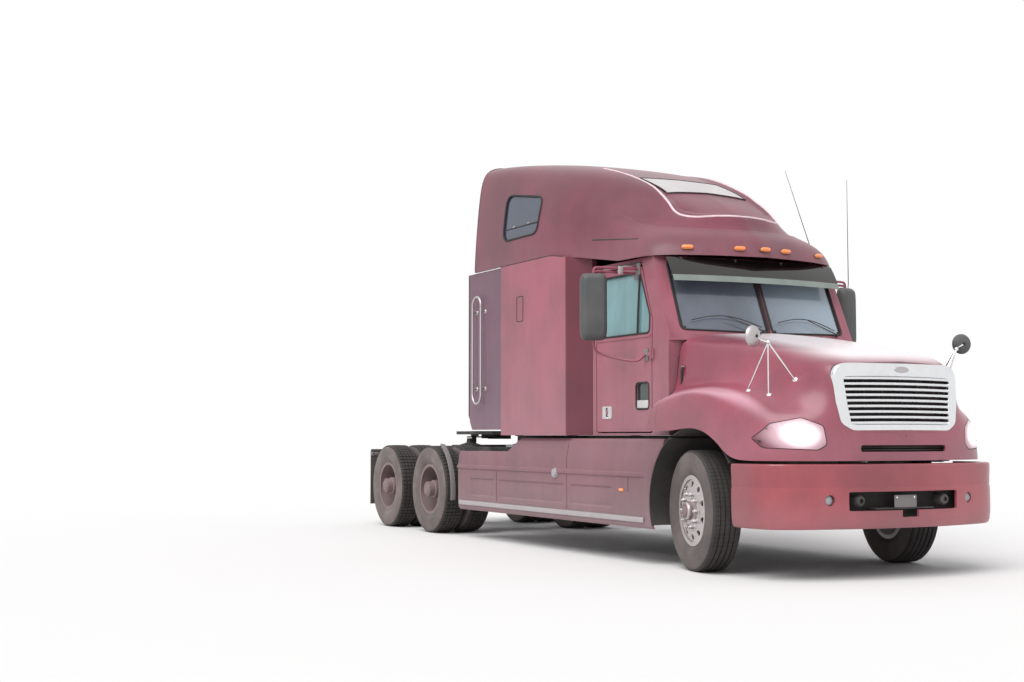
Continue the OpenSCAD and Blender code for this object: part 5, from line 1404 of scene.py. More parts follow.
def makeLamps():
    outline = roundCorners(hoodShape["lamp"], hoodShape["lampCorner"])
    inset = grow(outline, -0.003)
    lenses = sheetForm(hoodGrid, hoodNormal, 0.001, 0.007).make(
        "headlamp_lenses", "lamp", body=None, merge=0.00001)
    both = cutter(inset, (0.0, 0.62), byS)
    carve(both, [cutter(mirrored(inset), (0.0, 0.62), byS)], "UNION")
    lensTree = surfaceTree(finishShell(lenses, [both], "hood", "headlamps", "INTERSECT"))
    shells, inside, seal = Form(), Form(), Form()
    ahead = (0, 1, 0)
    for side in (-1, 1):
        ring, deep = [], []
        for x, z in between(inset, 72, True):
            spot = dropOn(lensTree, (side * x, -0.3, z), ahead)[0] or Vector((side * x, 0.3, z))
            ring.append(spot + Vector((0, 0.010, 0)))
            deep.append((side * (0.93 + (x - 0.93) * 0.82), 0.42 + 0.35 * (x - 0.93), 1.15 + (z - 1.15) * 0.8))
        shells.face(shells.grid([ring, deep], closedColumns=True)[-1])
        for x, z, r in bowls:
            spot = (side * x, 0.170 + 0.9 * (x - 0.85), z)
            inside.lathe([(0.012, 0.100), (0.03, 0.085), (0.05, 0.060), (r, 0.0), (r + 0.008, 0.0), (r + 0.010, 0.02)],
                         spot, ahead, 40)
            inside.lathe([(0.0, 0.045), (0.014, 0.050), (0.018, 0.070), (0.018, 0.10)], spot, ahead, 20)
        edge = [(side * (0.93 + (x - 0.93) * 1.012), -0.3, 1.16 + (z - 1.16) * 1.02)
                for x, z in between(grow(outline, -0.001), 90, True)]
        beadOn(hoodTree, seal, edge, ahead, 0.0026, -0.001, closed=True)
    shells.make("headlamp_shells", "liner", "hood", "lamp", closed=False)
    inside.make("headlamp_bowls", "chrome", "hood", "lamp", closed=False)
    seal.make("headlamp_seals", "seal", "hood", "rubber")


makeLamps()


def makeLatches():
    # Rubber latches at the hood's rear corners
    latch = Form()
    for side in (-1, 1):
        spot, normal = dropOn(hoodTree, (side * 1.6, 1.690, 1.700), (-side, 0, 0))
        down = Vector((0, 0.05, -1)).normalized()
        across = normal.cross(down)
        latch.use("seal").tube([spot + normal * 0.010 - down * 0.05, spot + normal * 0.018,
                                spot + normal * 0.014 + down * 0.06, spot + normal * 0.012 + down * 0.10],
                               [0.010, 0.012, 0.011, 0.014], 10)
        hook = spot + normal * 0.006 - down * 0.055
        latch.use("satin").tube([hook + across * 0.022, hook - across * 0.022], 0.007, 10)
        latch.box(spot + Vector((-0.006, -0.024, -0.075)), spot + Vector((0.006, 0.024, -0.035)), 0.002)
    latch.make("hood_latches", "seal", "hood", "rubber")


makeLatches()


def makeHoodTrim():
    # The chin slot's fins, the lip under the grille, washer jets and the seal against the cowl
    fins, lip, washers, seal = Form(), Form(), Form(), Form()
    for z in (1.034, 1.056):
        fins.grid([[(x, 0.055 * (x / 0.43) ** 2 - 0.054 + 0.016 * c, z + 0.0035 * s) for c, s in circle(10)]
                   for x in np.linspace(-0.43, 0.43, 21)], closedColumns=True)
    fins.box((-0.475, 0.030, 1.006), (0.475, 0.038, 1.088), 0.002)
    for side in (-1, 1):
        fins.box((side * 0.446, -0.036, 1.010), (side * 0.452, 0.038, 1.084), 0.001)
        spot, normal = dropOn(hoodTree, (side * 0.34, 1.40, 2.6), (0, 0, -1))
        washers.lathe([(0.0, 0.016), (0.008, 0.015), (0.012, 0.010), (0.015, 0.0)], spot, normal, 16)
        washers.tube([spot + normal * 0.012, spot + normal * 0.016 + Vector((0, 0.014, 0))], 0.004, 8)
        path = []
        for z in np.linspace(1.20, 1.97, 24):
            spot, normal = dropOn(hoodTree, (side * 1.6, 1.762, z), (-side, 0, 0))
            if spot is not None:
                path.append(spot - normal * 0.008 + Vector((0, 0.012, 0)))
        seal.tube(path, 0.008, 8)
    fins.make("chin_fins", "liner", "hood", "black_plastic", closed=False)
    lip.tube([onGrille(x, 0.016, 1.184) for x in np.linspace(-0.500, 0.500, 31)], 0.014, 10)
    lip.prism([(-0.0678, 1.150), (-0.0615, 1.190), (-0.052, 1.190), (-0.056, 1.150)], (-0.070, 0.070), byX)
    lip.make("grille_lip", "paintHood", "hood", "paint")
    washers.make("washer_jets", "black", "hood", "black_plastic")
    seal.make("hood_rear_seal", "seal", "hood", "rubber")


makeHoodTrim()

hoodMirror = {"disc": (1.113, 0.441, 1.946), "apex": (1.005, 0.398, 1.896), "turn": 14,
              "feet": [(0.977, 0.705, 1.519), (0.921, 0.505, 1.481), (0.764, 0.368, 1.600)]}


def makeHoodMirrors():
    arms, shells, glasses = Form(), Form(), Form()
    for side in (-1, 1):
        disc, apex = (Vector(hoodMirror[k]) * Vector((side, 1, 1)) for k in ("disc", "apex"))
        turn = math.radians(hoodMirror["turn"] * side)
        back = Vector((math.sin(turn), math.cos(turn), 0))      # the glass faces the driver
        shells.use("satin" if side < 0 else "mirrorShell")
        shells.lathe([(0.0, -0.030), (0.025, -0.0295), (0.050, -0.023), (0.070, -0.013), (0.083, -0.002),
                      (0.088, 0.010), (0.088, 0.016), (0.084, 0.019), (0.082, 0.014)], disc, back, 48)
        shells.use("seal").lathe([(0.0, -0.040), (0.010, -0.039), (0.014, -0.034), (0.015, -0.026)], disc, back, 20)
        glasses.lathe([(0.0, 0.019), (0.03, 0.0185), (0.055, 0.0165), (0.0825, 0.013)], disc, back, 48)
        arms.tube([apex, apex.lerp(disc, 0.5) + Vector((0, 0.01, -0.004)), disc + Vector((0, -0.030, 0))], 0.0085)
        arms.lathe([(0.0, 0.016), (0.010, 0.015), (0.016, 0.008), (0.017, 0.0), (0.016, -0.008), (0.0, -0.016)], apex,
                   (0, 0, 1), 24)
        for x, s, z in hoodMirror["feet"]:
            spot, normal = dropOn(hoodTree, (side * (x + 0.25), s - 0.05, z + 0.35),
                                  Vector((-side * 0.25, 0.05, -0.35)).normalized())
            if spot is None:
                spot, normal = Vector((side * x, s, z)), Vector((side, 0, 0.3)).normalized()
            arms.tube([apex, apex.lerp(spot, 0.97) + normal * 0.012, spot + normal * 0.010], 0.007)
            arms.lathe([(0.0, 0.014), (0.010, 0.013), (0.016, 0.006), (0.021, 0.004), (0.023, 0.0)], spot, normal, 24)
    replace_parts(shells.make("hood_mirror_shells", "mirrorShell", "hood", "chrome", sharp=60), "hood_mirrors")
    arms.make("hood_mirror_stands", "chrome", "hood", "chrome")
    glasses.make("hood_mirror_glasses", "mirror", "hood", "chrome", closed=False)


makeHoodMirrors()
print("stage: hood")


# Cab, sleeper and their seams

for name, look, bevel in (("cab", "paintSide", 0.004), ("cab_floor", "liner", 0.003),
                          ("sleeper", "paintSleeper", 0.005), ("dashboard", "dash", 0.008),
                          ("windscreen", "screen", 0), ("door_right", "paintSide", 0.004),
                          ("door_left", "paintSide", 0.004), ("grab_rails", "satin", 0)):
    dressNode(name, look, bevel)


def paneFinish(middle, normal):
    # The small low window is darker
    return int(middle.z < 1.8)


def extenderFinish(middle, normal):
    # Rubber rear edge, dark inner face
    if middle.y > 5.6301:
        return 1
    return 2 if abs(middle.x) < 1.1750 else 0


dressNode("door_glass_right", "sideGlass", 0, paneFinish, ("peeperGlass",))
dressNode("door_glass_left", "sideGlass", 0, paneFinish, ("peeperGlass",))
dressNode("side_extenders", "paintExtender", 0.003, extenderFinish, ("rubber", "liner"))

cabShape = {
    "half": 1.050, "floor": 1.150, "top": 2.790, "tumble": 0.050,
    "window": [(2.115, 2.085), (3.010, 2.085), (3.010, 2.655), (2.318, 2.655), (2.115, 2.250)],
    "peeper": (2.120, 1.390, 2.340, 1.630),
    "handle": 1.365,
}


def sideAt(z):
    # The barrel of the cab's side: its distance from the middle at a height
    middle = (cabShape["floor"] + cabShape["top"]) / 2
    rise = max(z - middle + 0.25, 0) / (cabShape["top"] - middle + 0.25)
    return cabShape["half"] - cabShape["tumble"] * rise ** 2


def sealRound(form, outline, side, radius, count):
    # A seal on the cab's side, round a window
    line = between(grow(outline, 0.002), count, True)
    form.tube([(side * (sideAt(z) - 0.001), s, z) for s, z in line], radius, 8, closed=True)


def makeDoorTrim(side, tag):
    # Seals, belt moulding, hinge bolts and the inner card with its rest and pull
    body = "door_" + tag
    seal = Form()
    sealRound(seal, roundCorners(cabShape["window"], 0.04), side, 0.009, 90)
    # Divider of the vent pane
    seal.tube([(side * (sideAt(z) - 0.006), 2.330, z) for z in np.linspace(2.09, 2.652, 8)], 0.010, 8)
    if side < 0:
        # Small low window, its lower part pale
        shadeForm = Form()
        x = sideAt(1.43)
        shadeForm.box((side * (x - 0.0008), 2.135, 1.400), (side * (x - 0.0028), 2.325, 1.470), 0.0008)
        shadeForm.make("peeper_shade", "pale", body, "glass")
        sealRound(seal, panel(*cabShape["peeper"], 0.04), side, 0.008, 50)
    seal.make("window_seals_" + tag, "seal", body, "rubber")
    belt, hinge, card = Form(), Form(), Form()
    belt.rail(((-0.003, -0.013), (0.007, -0.011), (0.010, 0.0), (0.007, 0.011), (-0.003, 0.013)),
              side, sideAt(2.055), 2.055, np.linspace(2.090, 3.040, 12))
    belt.make("door_belt_" + tag, "paintSide", body, "paint")
    for z in (1.330, 1.880):
        for lift in (0.006, 0.0092):
            hinge.bolt((side * 1.0665, 2.107, z + lift), (side, 0, 0), 0.004, 0.004)
    hinge.make("hinge_bolts_" + tag, "chassis", body, "dark_steel")
    x = cabShape["half"] - 0.050
    card.use("dash").box((side * x, 2.11, 1.22), (side * (x - 0.018), 3.02, 2.05), 0.006)
    card.box((side * (x - 0.01), 2.40, 1.66), (side * (x - 0.075), 2.95, 1.71), 0.015)
    card.use("black").tube([(side * (x - inset), s, z) for inset, s, z in (
        (0.02, 2.50, 1.82), (0.06, 2.53, 1.85), (0.06, 2.77, 1.85), (0.02, 2.80, 1.82))], 0.011, 10)
    card.make("door_card_" + tag, "dash", body, "trim")


def makeHandle(side, tag):
    # Pale plate with a dark recess, the pull and the lock
    form = Form()
    z = cabShape["handle"]
    x = sideAt(z)
    plate = panel(2.775, z - 0.060, 2.945, z + 0.060, 0.022)
    inner = panel(2.838, z - 0.044, 2.884, z + 0.044, 0.016)
    low, high = side * (x - 0.002), side * (x + 0.006)
    form.use("pale").grid([[byX(u, v, w) for u, v in outline] for outline, w in (
        (plate, low), (plate, high), (inner, high), (inner, low))], closedRows=True, closedColumns=True)
    form.use("liner").prism(inner, (side * (x - 0.004), low), byX)
    form.use("chrome").box((side * (x - 0.003), 2.846, z - 0.034), (side * (x + 0.004), 2.856, z + 0.036), 0.003)
    form.lathe([(0.0, 0.004), (0.009, 0.0035), (0.011, 0.0)], (side * (x + 0.004), 2.860, z - 0.050), (side, 0, 0), 20)
    form.make("door_handle_" + tag, "pale", "door_" + tag, "chrome", sharp=40)


def makeMirror(side, tag):
    # Tall mirror in a moulded shell, its two panes parted
    body = "door_" + tag
    middle = Vector((side * 1.465, 2.400, 2.325))
    turn = math.radians(20) * side
    across = Vector((math.cos(turn), math.sin(turn), 0))
    back = Vector((-math.sin(turn), math.cos(turn), 0))
    up = Vector((0, 0, 1))
    shell, panes = Form(), Form()
    shell.bar([[middle + across * (u * w) + up * (v * h) + back * depth for u, v in circle(64, (0.35, 0.22))]
               for depth, w, h in ((-0.069, 0.078, 0.252), (-0.066, 0.090, 0.266), (-0.056, 0.106, 0.286),
                                   (-0.030, 0.121, 0.305), (0.0, 0.1245, 0.3085), (0.022, 0.1245, 0.3085),
                                   (0.029, 0.121, 0.305), (0.029, 0.109, 0.293), (0.020, 0.106, 0.290))])
    for low, high in ((-0.265, 0.115), (0.130, 0.265)):
        panes.prism(panel(-0.100, low, 0.100, high, 0.022), (0.020, 0.024),
                    lambda u, v, w: middle + across * u + back * w + up * v)
    panes.make("mirror_glass_" + tag, "mirror", body, "chrome")
    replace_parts(shell.make("mirror_shell_" + tag, "mirrorShell", body, "black_plastic", sharp=50), "mirror_" + tag)


def makeMirrorArms(side, tag):
    # Arms with their brackets on the door, clamp plates and a stay to the drip rail
    body = "door_" + tag
    arms, plates = Form(), Form()
    for s0, z0, z1, z2, sag in ((2.340, 2.690, 2.690, 2.590, 0.0), (2.380, 2.650, 2.655, 2.590, 0.0),
                                (2.150, 1.880, 1.945, 2.040, 0.075)):
        x = sideAt(z0 - 0.024) + 0.0003
        path = [(x + 0.008, s0, z0), (x + 0.06, s0 + 0.004, z0 - sag * 0.3), (x + 0.09, s0 + 0.010, z0 - sag),
                (1.38, 2.390, z0 * 0.3 + z1 * 0.7 - sag * 0.6), (1.455, 2.400, z1 - sag * 0.3),
                (1.465, 2.400, z1 + 0.3 * (z2 - z1)), (1.465, 2.400, z2)]
        arms.use("paintHood").tube(splinePoints([(side * far, s, z) for far, s, z in path], 6), 0.0118)
        arms.use("grey").lathe([(0.0, 0.016), (0.014, 0.016), (0.022, 0.010), (0.026, 0.0)], (side * x, s0, z0),
                               (side, 0, 0), 24)
        arms.box((side * x, s0 - 0.030, z0 - 0.055), (side * (x + 0.012), s0 + 0.030, z0 + 0.055), 0.004)
    arms.make("mirror_arms_" + tag, "paintHood", body, "paint")
    x = sideAt(2.66)
    for s in (2.350, 2.372):
        plates.tube([(side * (x + 0.004), s, 2.700), (side * (x + 0.130), s + 0.012, 2.712),
                     (side * 1.360, 2.396, 2.665)], 0.0065, 10)
    plates.box((side * 1.180, 2.338, 2.632), (side * 1.235, 2.350, 2.706), 0.003)
    plates.make("mirror_stays_" + tag, "satin", body, "chrome")


def makeLeftAerial():
    mast = Form()
    for look, low, high, steps, radii in (("black", 2.545, 2.62, 2, (0.012, 0.012)),
                                          ("chrome", 2.62, 2.66, 2, (0.008, 0.008)),
                                          ("black", 2.66, 3.735, 10, (0.0045, 0.002))):
        mast.use(look).tube([(1.505, 2.400, z) for z in np.linspace(low, high, steps)],
                            list(np.linspace(*radii, steps)), 8 if steps > 2 else 12)
    mast.make("aerial_left", "black", "door_left", "black_plastic")


for tag, side in (("right", -1), ("left", 1)):
    makeDoorTrim(side, tag)
    makeHandle(side, tag)
    makeMirror(side, tag)
    makeMirrorArms(side, tag)
makeLeftAerial()


def makeCabTrim():
    # Drip rail over each door, bellows at the sleeper's flare and the strip under the windscreen
    rails, joint, cowl = Form(), Form(), Form()
    for side in (-1, 1):
        rails.rail(((-0.004, -0.010), (0.012, -0.008), (0.016, 0.004), (0.011, 0.006), (0.008, -0.002),
                    (-0.004, 0.002)), side, sideAt(2.752), 2.752, np.linspace(2.300, 3.100, 14))
        joint.tube([(side * (sideAt(z) - 0.001), 3.1402, z) for z in np.linspace(1.16, 2.83, 16)], 0.004, 6)
    rails.make("drip_rails", "black", "chassis", "black_plastic")
    joint.make("sleeper_joint", "seal", "chassis", "rubber")
    section = ((-0.004, 2.050), (0.006, 2.062), (0.028, 2.080), (0.034, 2.078), (0.016, 2.052))
    cowl.bar([[(x, screenAt(x, 2.060, d), z) for d, z in section] for x in np.linspace(-0.93, 0.93, 31)])
    cowl.make("cowl_strip", "black", "chassis", "black_plastic")


makeCabTrim()


def makeScreenTrim():
    # Black frit and seal round each pane
    frit, seal = Form(), Form()
    pane = roundCorners([(0.014, 2.081), (0.910, 2.101), (0.895, 2.720), (0.865, 2.750), (0.014, 2.750)], 0.04)
    for side in (-1, 1):
        frit.grid([[(side * x, screenAt(x, z, 0.0128), z) for x, z in outline] for outline in (pane, grow(pane, -0.030))],
                  closedColumns=True)
        seal.tube([(side * x, screenAt(x, z, -0.002), z) for x, z in between(grow(pane, 0.002), 110, True)], 0.008, 8,
                  closed=True)
    frit.make("screen_frit", "seal", "chassis", "rubber", closed=False)
    seal.make("screen_seals", "seal", "chassis", "rubber")


makeScreenTrim()


def makeWipers():
    wipers = Form()
    for x0, x1 in ((-0.10, -0.80), (0.80, 0.10)):
        middle = (x0 + x1) / 2
        pivot = Vector((x0, screenAt(x0, 2.085, -0.02), 2.085))
        elbow = Vector((middle, screenAt(middle, 2.22, -0.045), 2.22))
        wipers.use("black").tube([pivot, pivot + Vector((0, -0.02, 0.01)), elbow], [0.010, 0.006, 0.004], 8)
        wipers.lathe([(0.0, 0.02), (0.014, 0.018), (0.018, 0.0)], pivot, (0, -1, 0.4), 20)
        blade = []
        for t in np.linspace(0, 1, 14):
            x, z = x0 + (x1 - x0) * t, 2.135 + 0.069 * math.sin(math.pi * t) + 0.05 * t
            blade.append((x, screenAt(x, z, -0.016), z))
        wipers.use("seal").tube(blade, 0.0042, 6)
    wipers.make("wipers", "black", "chassis", "black_plastic")


makeWipers()


def makeVisor():
    # Tinted visor with a paler lower lip, on its brackets under the brow
    form = Form()
    top, low = 2.770, 2.545
    columns = np.linspace(-0.94, 0.94, 49)
    outer, inner = [], []

    def spot(x, t, lift):
        z = low + (top - low) * t
        d = -0.130 + 0.030 * t - lift - 0.010 * math.sin(math.pi * t)
        return (x, screenAt(x, z, d), z)

    for t in np.linspace(0, 1, 9):
        outer.append([spot(x, t, 0.0) for x in columns])
        inner.append([spot(x, t, -0.008) for x in columns])
    rows = outer + inner[::-1]
    made = form.use("visor").grid(rows, closedRows=True)
    for k in (0, -1):
        form.face([row[k] for row in made])
    form.use("visorLip")
    piece = form.make("sun_visor_panel", "visor", "chassis", "visor", sharp=40)
    for polygon in piece.data.polygons:
        if polygon.center.z < low + (top - low) * 0.27:
            polygon.material_index = 1
    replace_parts(piece, "sun_visor")
    brackets = Form()
    for x in (-0.810, -0.260, 0.260, 0.810):
        s0, s1 = screenAt(x, 2.7523, -0.110), screenAt(x, 2.7523, -0.0003)
        brackets.box((x - 0.010, s0, 2.7523), (x + 0.010, s1, 2.768), 0.002)
        brackets.bolt((x, s0 + 0.004, 2.742), (0, -1, 0.3), 0.008, 0.006)
    brackets.make("visor_brackets", "black", "chassis", "black_plastic")


makeVisor()


def makeSleeperTrim():
    # Small side hatch, the seam under the roof, and a dark block that paints the shade under the body above the
    # fairings
    lines, sill = Form(), Form()
    hatch = between(panel(4.31, 2.34, 4.45, 2.60, 0.02), 70, True)
    for side in (-1, 1):
        lines.tube([(side * (sleeperX + 0.0002), s, z) for s, z in hatch], 0.004, 6, closed=True)
        lines.tube([(side * (sleeperX - 0.001), s, roofSeam(s) - 0.001) for s in np.linspace(3.44, 4.83, 14)], 0.0045, 6)
        # Painted shade: a near-black block fills the gap under the body
        sill.box((side * 0.930, 1.800, 1.092), (side * 1.016, 4.810, 1.149), 0.006)
    lines.make("sleeper_seams", "seal", "chassis", "rubber")
    sill.make("body_underside_shade", "liner", "chassis", "black_plastic")


makeSleeperTrim()
print("stage: cab")


# Side fairings, extenders and bumper

fairingShape = {
    "x": 1.198, "thick": 0.022, "arch": (1.240, 0.560, 0.6601),
    "top": 1.120, "lowTop": 0.975, "foot": 0.320, "slope": (4.450, 4.710), "back": 5.960,
    "shoulder": 0.030,               # how far the upper edge leans in
    "ridge": (0.772, 0.822, 0.012),  # heights and depth of the long moulded rib
    "panels": [(2.530, 3.340), (3.460, 4.900), (5.020, 5.620)],
    "panelZ": (0.480, 0.680), "panelDepth": 0.014,
}


def fairingOutline():
    s0, z0, r = fairingShape["arch"]
    top, lowTop, foot, back = (fairingShape[k] for k in ("top", "lowTop", "foot", "back"))
    arch = [(s, z) for s, z in arc((s0, z0), r, -21, 54, 30) if z < top - 0.002]
    return arch + [(s0 + math.sqrt(r * r - (top - z0) ** 2), top), (fairingShape["slope"][0], top),
                  (fairingShape["slope"][1], lowTop), (back - 0.060, lowTop), (back + 0.010, lowTop - 0.160),
                  (back, foot + 0.060), (back - 0.040, foot)]


def fairingInset(s, z):
    # How far the outer face lies inside its flat plane
    depth = fairingShape["shoulder"] * smooth(z, 0.900, 1.130) + 0.016 * smooth(z, 1.085, 1.122)
    depth += 0.012 * (1 - smooth(z, 0.318, 0.352))
    low, high, proud = fairingShape["ridge"]
    depth -= proud * smooth(z, low, low + 0.010) * (1 - smooth(z, high - 0.012, high)) * smooth(s, 1.96, 2.02)
    z0, z1 = fairingShape["panelZ"]
    for s0, s1 in fairingShape["panels"]:
        edge = smooth(z, z0, z0 + 0.016) * (1 - smooth(z, z1 - 0.016, z1))
        edge *= smooth(s, s0, s0 + 0.03) * (1 - smooth(s, s1 - 0.03, s1))
        belly = math.sin(math.pi * min(max((z - z0) / (z1 - z0), 0), 1))
        depth += fairingShape["panelDepth"] * edge * (1 - 0.55 * belly)
    s0, z0, r = fairingShape["arch"]
    depth += 0.010 * (1 - smooth(math.hypot(s - s0, z - z0), r, r + 0.030))
    depth += 0.010 * smooth(s, 5.900, 5.975)
    for line in (3.400, 4.960):
        depth += 0.004 * max(0.0, 1 - abs(s - line) / 0.012)
    return depth


def makeFairing(side, tag):
    # Moulded side skirt: one skin with its ribs and panels, cut to its outline
    stations = sorted(set([round(v, 4) for v in np.arange(1.700, 6.021, 0.024)] +
                          [line + d for line in (3.400, 4.960) for d in (-0.012, 0.0, 0.012)]))
    heights = sorted(set([round(v, 4) for v in np.arange(0.300, 1.141, 0.020)] +
                         [0.320, 0.330, 0.345, 0.484, 0.490, 0.496, 0.664, 0.670, 0.676, 0.772, 0.777, 0.782, 0.810,
                          0.816, 0.822, 1.090, 1.100, 1.106, 1.112, 1.118]))
    form = Form()
    form.bar([[(side * (fairingShape["x"] - fairingInset(s, z) - depth), s, z) for depth, column in (
        (0.0, heights), (fairingShape["thick"], heights[::-1])) for z in column] for s in stations])
    skin = form.make("fairing_skin_" + tag, "paintFairing", body=None, sharp=40)
    finishShell(skin, [cutter(fairingOutline(), (side * 1.0, side * 1.3), byX)], "chassis",
                "fairing_" + tag, "INTERSECT", 40, 0.004)
    inside = Form()
    inside.use("paintFairing").box((side * 0.918, 4.762, 0.957), (side * 1.170, 5.896, 0.973), 0.004)
    for s in (2.150, 2.950, 4.900, 5.800):
        inside.use("chassis").box((side * 0.4345, s, 0.800), (side * 1.176, s + 0.050, 0.840), 0.003)
    inside.make("fairing_inside_" + tag, "chassis", "chassis", "dark_steel")
    guard = Form()
    # Curved edge strip in front of the driven tyre
    rows = []
    for s, z in arc((6.770, 0.513), 0.600, 120, 190, 24):
        spoke = Vector((0, s - 6.770, z - 0.513)).normalized()
        rows.append([(side * x, s + spoke.y * lift, z + spoke.z * lift) for x, lift in (
            (1.135, 0.0), (1.182, 0.0), (1.192, 0.004), (1.192, 0.018), (1.182, 0.022), (1.135, 0.016))])
    guard.bar(rows)
    guard.make("quarter_guard_" + tag, "grey", "chassis", "rubber")


def makeFairingTrim(side, tag):
    x = side * 1.198
    seams = Form()
    for s, z0, z1 in ((3.400, 0.440, 0.765), (3.400, 0.830, 1.060), (4.960, 0.440, 0.765), (2.250, 0.640, 0.765)):
        seams.tube([(side * (fairingShape["x"] - fairingInset(s, z) + 0.0005), s, z)
                    for z in np.linspace(z0, z1, 12)], 0.0028, 6)
    seams.make("fairing_seams_" + tag, "seal", "chassis", "rubber")
    cap = Form()
    cap.use("tank").lathe([(0.0, 0.030), (0.030, 0.029), (0.040, 0.024), (0.043, 0.012), (0.050, 0.010), (0.052, 0.0)],
                          (x, 3.630, 0.777), (side, 0, 0), 32)
    for c, s in circle(3):
        cap.bolt((x + side * 0.029, 3.630 + 0.02 * c, 0.777 + 0.02 * s), (side, 0, 0), 0.004, 0.004)
    cap.use("amber").box((x, 2.33, 0.640), (x + side * 0.008, 2.40, 0.668), 0.003)
    cap.make("fairing_caps_" + tag, "tank", "chassis", "tank")
    rail = Form()
    # Bright foot rail with its end caps
    rail.rail(((0.004, 0.372), (0.010, 0.376), (0.0135, 0.398), (0.010, 0.420), (0.004, 0.424)),
              side, 1.198, 0.0, np.linspace(1.975, 5.900, 30))
    rail.make("fairing_rail_" + tag, "satin", "chassis", "rim")


for tag, side in (("right", -1), ("left", 1)):
    makeFairing(side, tag)
    makeFairingTrim(side, tag)


def makeRailTrim():
    # Flanged feet with bolts under the grab rails
    form = Form()
    for side in (-1, 1):
        for s in (5.235, 5.445):
            for z in (1.660, 2.510):
                form.use("satin").lathe([(0.0, 0.012), (0.012, 0.012), (0.022, 0.006), (0.026, 0.0)],
                                        (side * 1.2003, s, z), (side, 0, 0), 24)
                form.use("chrome").bolt((side * 1.206, s, z - 0.017), (side, 0, 0), 0.0035, 0.004)
    form.make("rail_feet", "satin", "chassis", "rim")


makeRailTrim()


def bumperHalf():
    w, end, nose = 1.220, 0.623, 0.082
    return [(-w, end), (-w, end * 0.7), (-w * 0.99, 0.250), (-w * 0.885, 0.092), (-w * 0.59, 0.0), (-w * 0.27, -nose)]


def makeBumper():
    # Bumper skin with a soft top roll, a swage line and a tucked lower edge, inside the source's outline
    half = bumperHalf()
    plan = half + [(0.0, noseS)] + mirrored(half[::-1])
    line = [Vector(p) for p in splinePoints(plan, 12)]
    normals = []
    for i in range(len(line)):
        along = line[min(i + 1, len(line) - 1)] - line[max(i - 1, 0)]
        along.normalize()
        normals.append(Vector((along.y, -along.x)))
    # Its section, from the back of the top down the front, then up inside: depth, height
    section = [(0.070, 0.925), (0.020, 0.925), (0.008, 0.921), (0.002, 0.913), (0.0005, 0.900), (0.001, 0.860),
               (0.004, 0.800), (0.0045, 0.760), (0.0065, 0.748), (0.0065, 0.735), (0.0025, 0.722), (0.001, 0.690),
               (0.001, 0.560), (0.003, 0.500), (0.010, 0.448), (0.020, 0.422), (0.034, 0.412), (0.070, 0.4105),
               (0.070, 0.424), (0.036, 0.426), (0.028, 0.440), (0.025, 0.500), (0.025, 0.900), (0.030, 0.907),
               (0.070, 0.909)]
    form = Form()
    form.bar([[(p.x - n.x * depth, p.y - n.y * depth, z) for depth, z in section] for p, n in zip(line, normals)])
    shell = form.make("bumper_shell", "paintBumper", body=None, sharp=30, merge=0.00001)
    cuts = [cutter(panel(-0.560, 0.555, 0.560, 0.705, 0.018), (-0.2, 0.3), byS),
            cutter(panel(-0.060, 0.500, 0.110, 0.600, 0.008), (-0.2, 0.3), byS)]
    for side in (-1, 1):
        hole = [(side * 0.718 + 0.043 * c, 0.640 + 0.043 * s) for c, s in circle(40)]
        cuts.append(cutter(hole, (-0.2, 0.4), byS))
    finishShell(shell, cuts, "chassis", "bumper")
    inside = Form()
    # Dark beam behind the mouth, tow sockets and the middle's grey bracket
    inside.use("liner").box((-0.68, 0.075, 0.500), (0.68, 0.095, 0.735), 0.004)
    for side in (-1, 1):
        inside.use("cast").lathe([(0.018, 0.0), (0.030, 0.0), (0.040, 0.006), (0.044, 0.020), (0.044, 0.080)],
                                 (side * 0.437, -0.030, 0.632), (0, 1, 0), 32)
        inside.use("black").lathe([(0.040, 0.0), (0.0435, 0.002), (0.0435, 0.020)],
                                  (side * 0.718, 0.018, 0.640), (0, 1, 0), 32)
        inside.use("clear").lathe([(0.0, -0.006), (0.020, -0.004), (0.034, 0.0), (0.040, 0.004)],
                                  (side * 0.718, 0.022, 0.640), (0, 1, 0), 32)
    inside.use("grey").box((-0.115, -0.050, 0.575), (0.115, -0.042, 0.675), 0.004)
    for x in (-0.09, 0.09):
        inside.use("chrome").bolt((x, -0.050, 0.655), (0, -1, 0), 0.006, 0.005)
    inside.use("black").box((-0.30, -0.046, 0.563), (0.30, 0.075, 0.573), 0.002)
    inside.make("bumper_inside", "chassis", "chassis", "dark_steel", sharp=40)
    bracket = Form()
    for side in (-1, 1):
        bracket.box((side * 0.333, -0.050, 0.835), (side * 0.3827, 0.2397, 0.905), 0.004)
    bracket.make("bumper_brackets", "chassis", "chassis", "dark_steel")


makeBumper()
print("stage: bumper and fairings")


# Inside the cab

seatShape = {"x": 0.500, "fill": 0.8, "lean": Vector((0, 0.165, 0.986)).normalized(),
             "out": Vector((0, -0.986, 0.165)).normalized()}
ahead, above = Vector((0, 1, 0)), Vector((0, 0, 1))


def cushion(name, centre, along, up, width, depth, height, count=40):
    # Rings from the underside to the crown; sides pull in between the corners, with piping at the top seam
    rings = []
    for t, spread in ((0.0, 0.80), (0.0, 0.94), (0.12, 1.0), (0.45, 1.02), (0.70, 1.01), (0.78, 0.985), (0.80, 0.965),
                      (0.90, 0.90), (0.97, 0.72), (1.0, 0.42), (1.01, 0.10)):
        ring = []
        for (u, v), (c, s) in zip(circle(count, (0.45, 0.45)), circle(count)):
            half = spread / 2 * (1 - 0.035 * (1 - abs(2 * c * s)) * (1 if t < 0.8 else 0.4))
            ring.append(centre + Vector((u * width * half, 0, 0)) + along * (v * depth * half) + up * (height * t))
        rings.append(ring)
    made = Form().bar(rings).make(name, "cloth", "chassis", "fabric", sharp=75)
    soft = made.modifiers.new("soft", "SUBSURF")
    soft.levels = 1
    soft.render_levels = 1
    return made


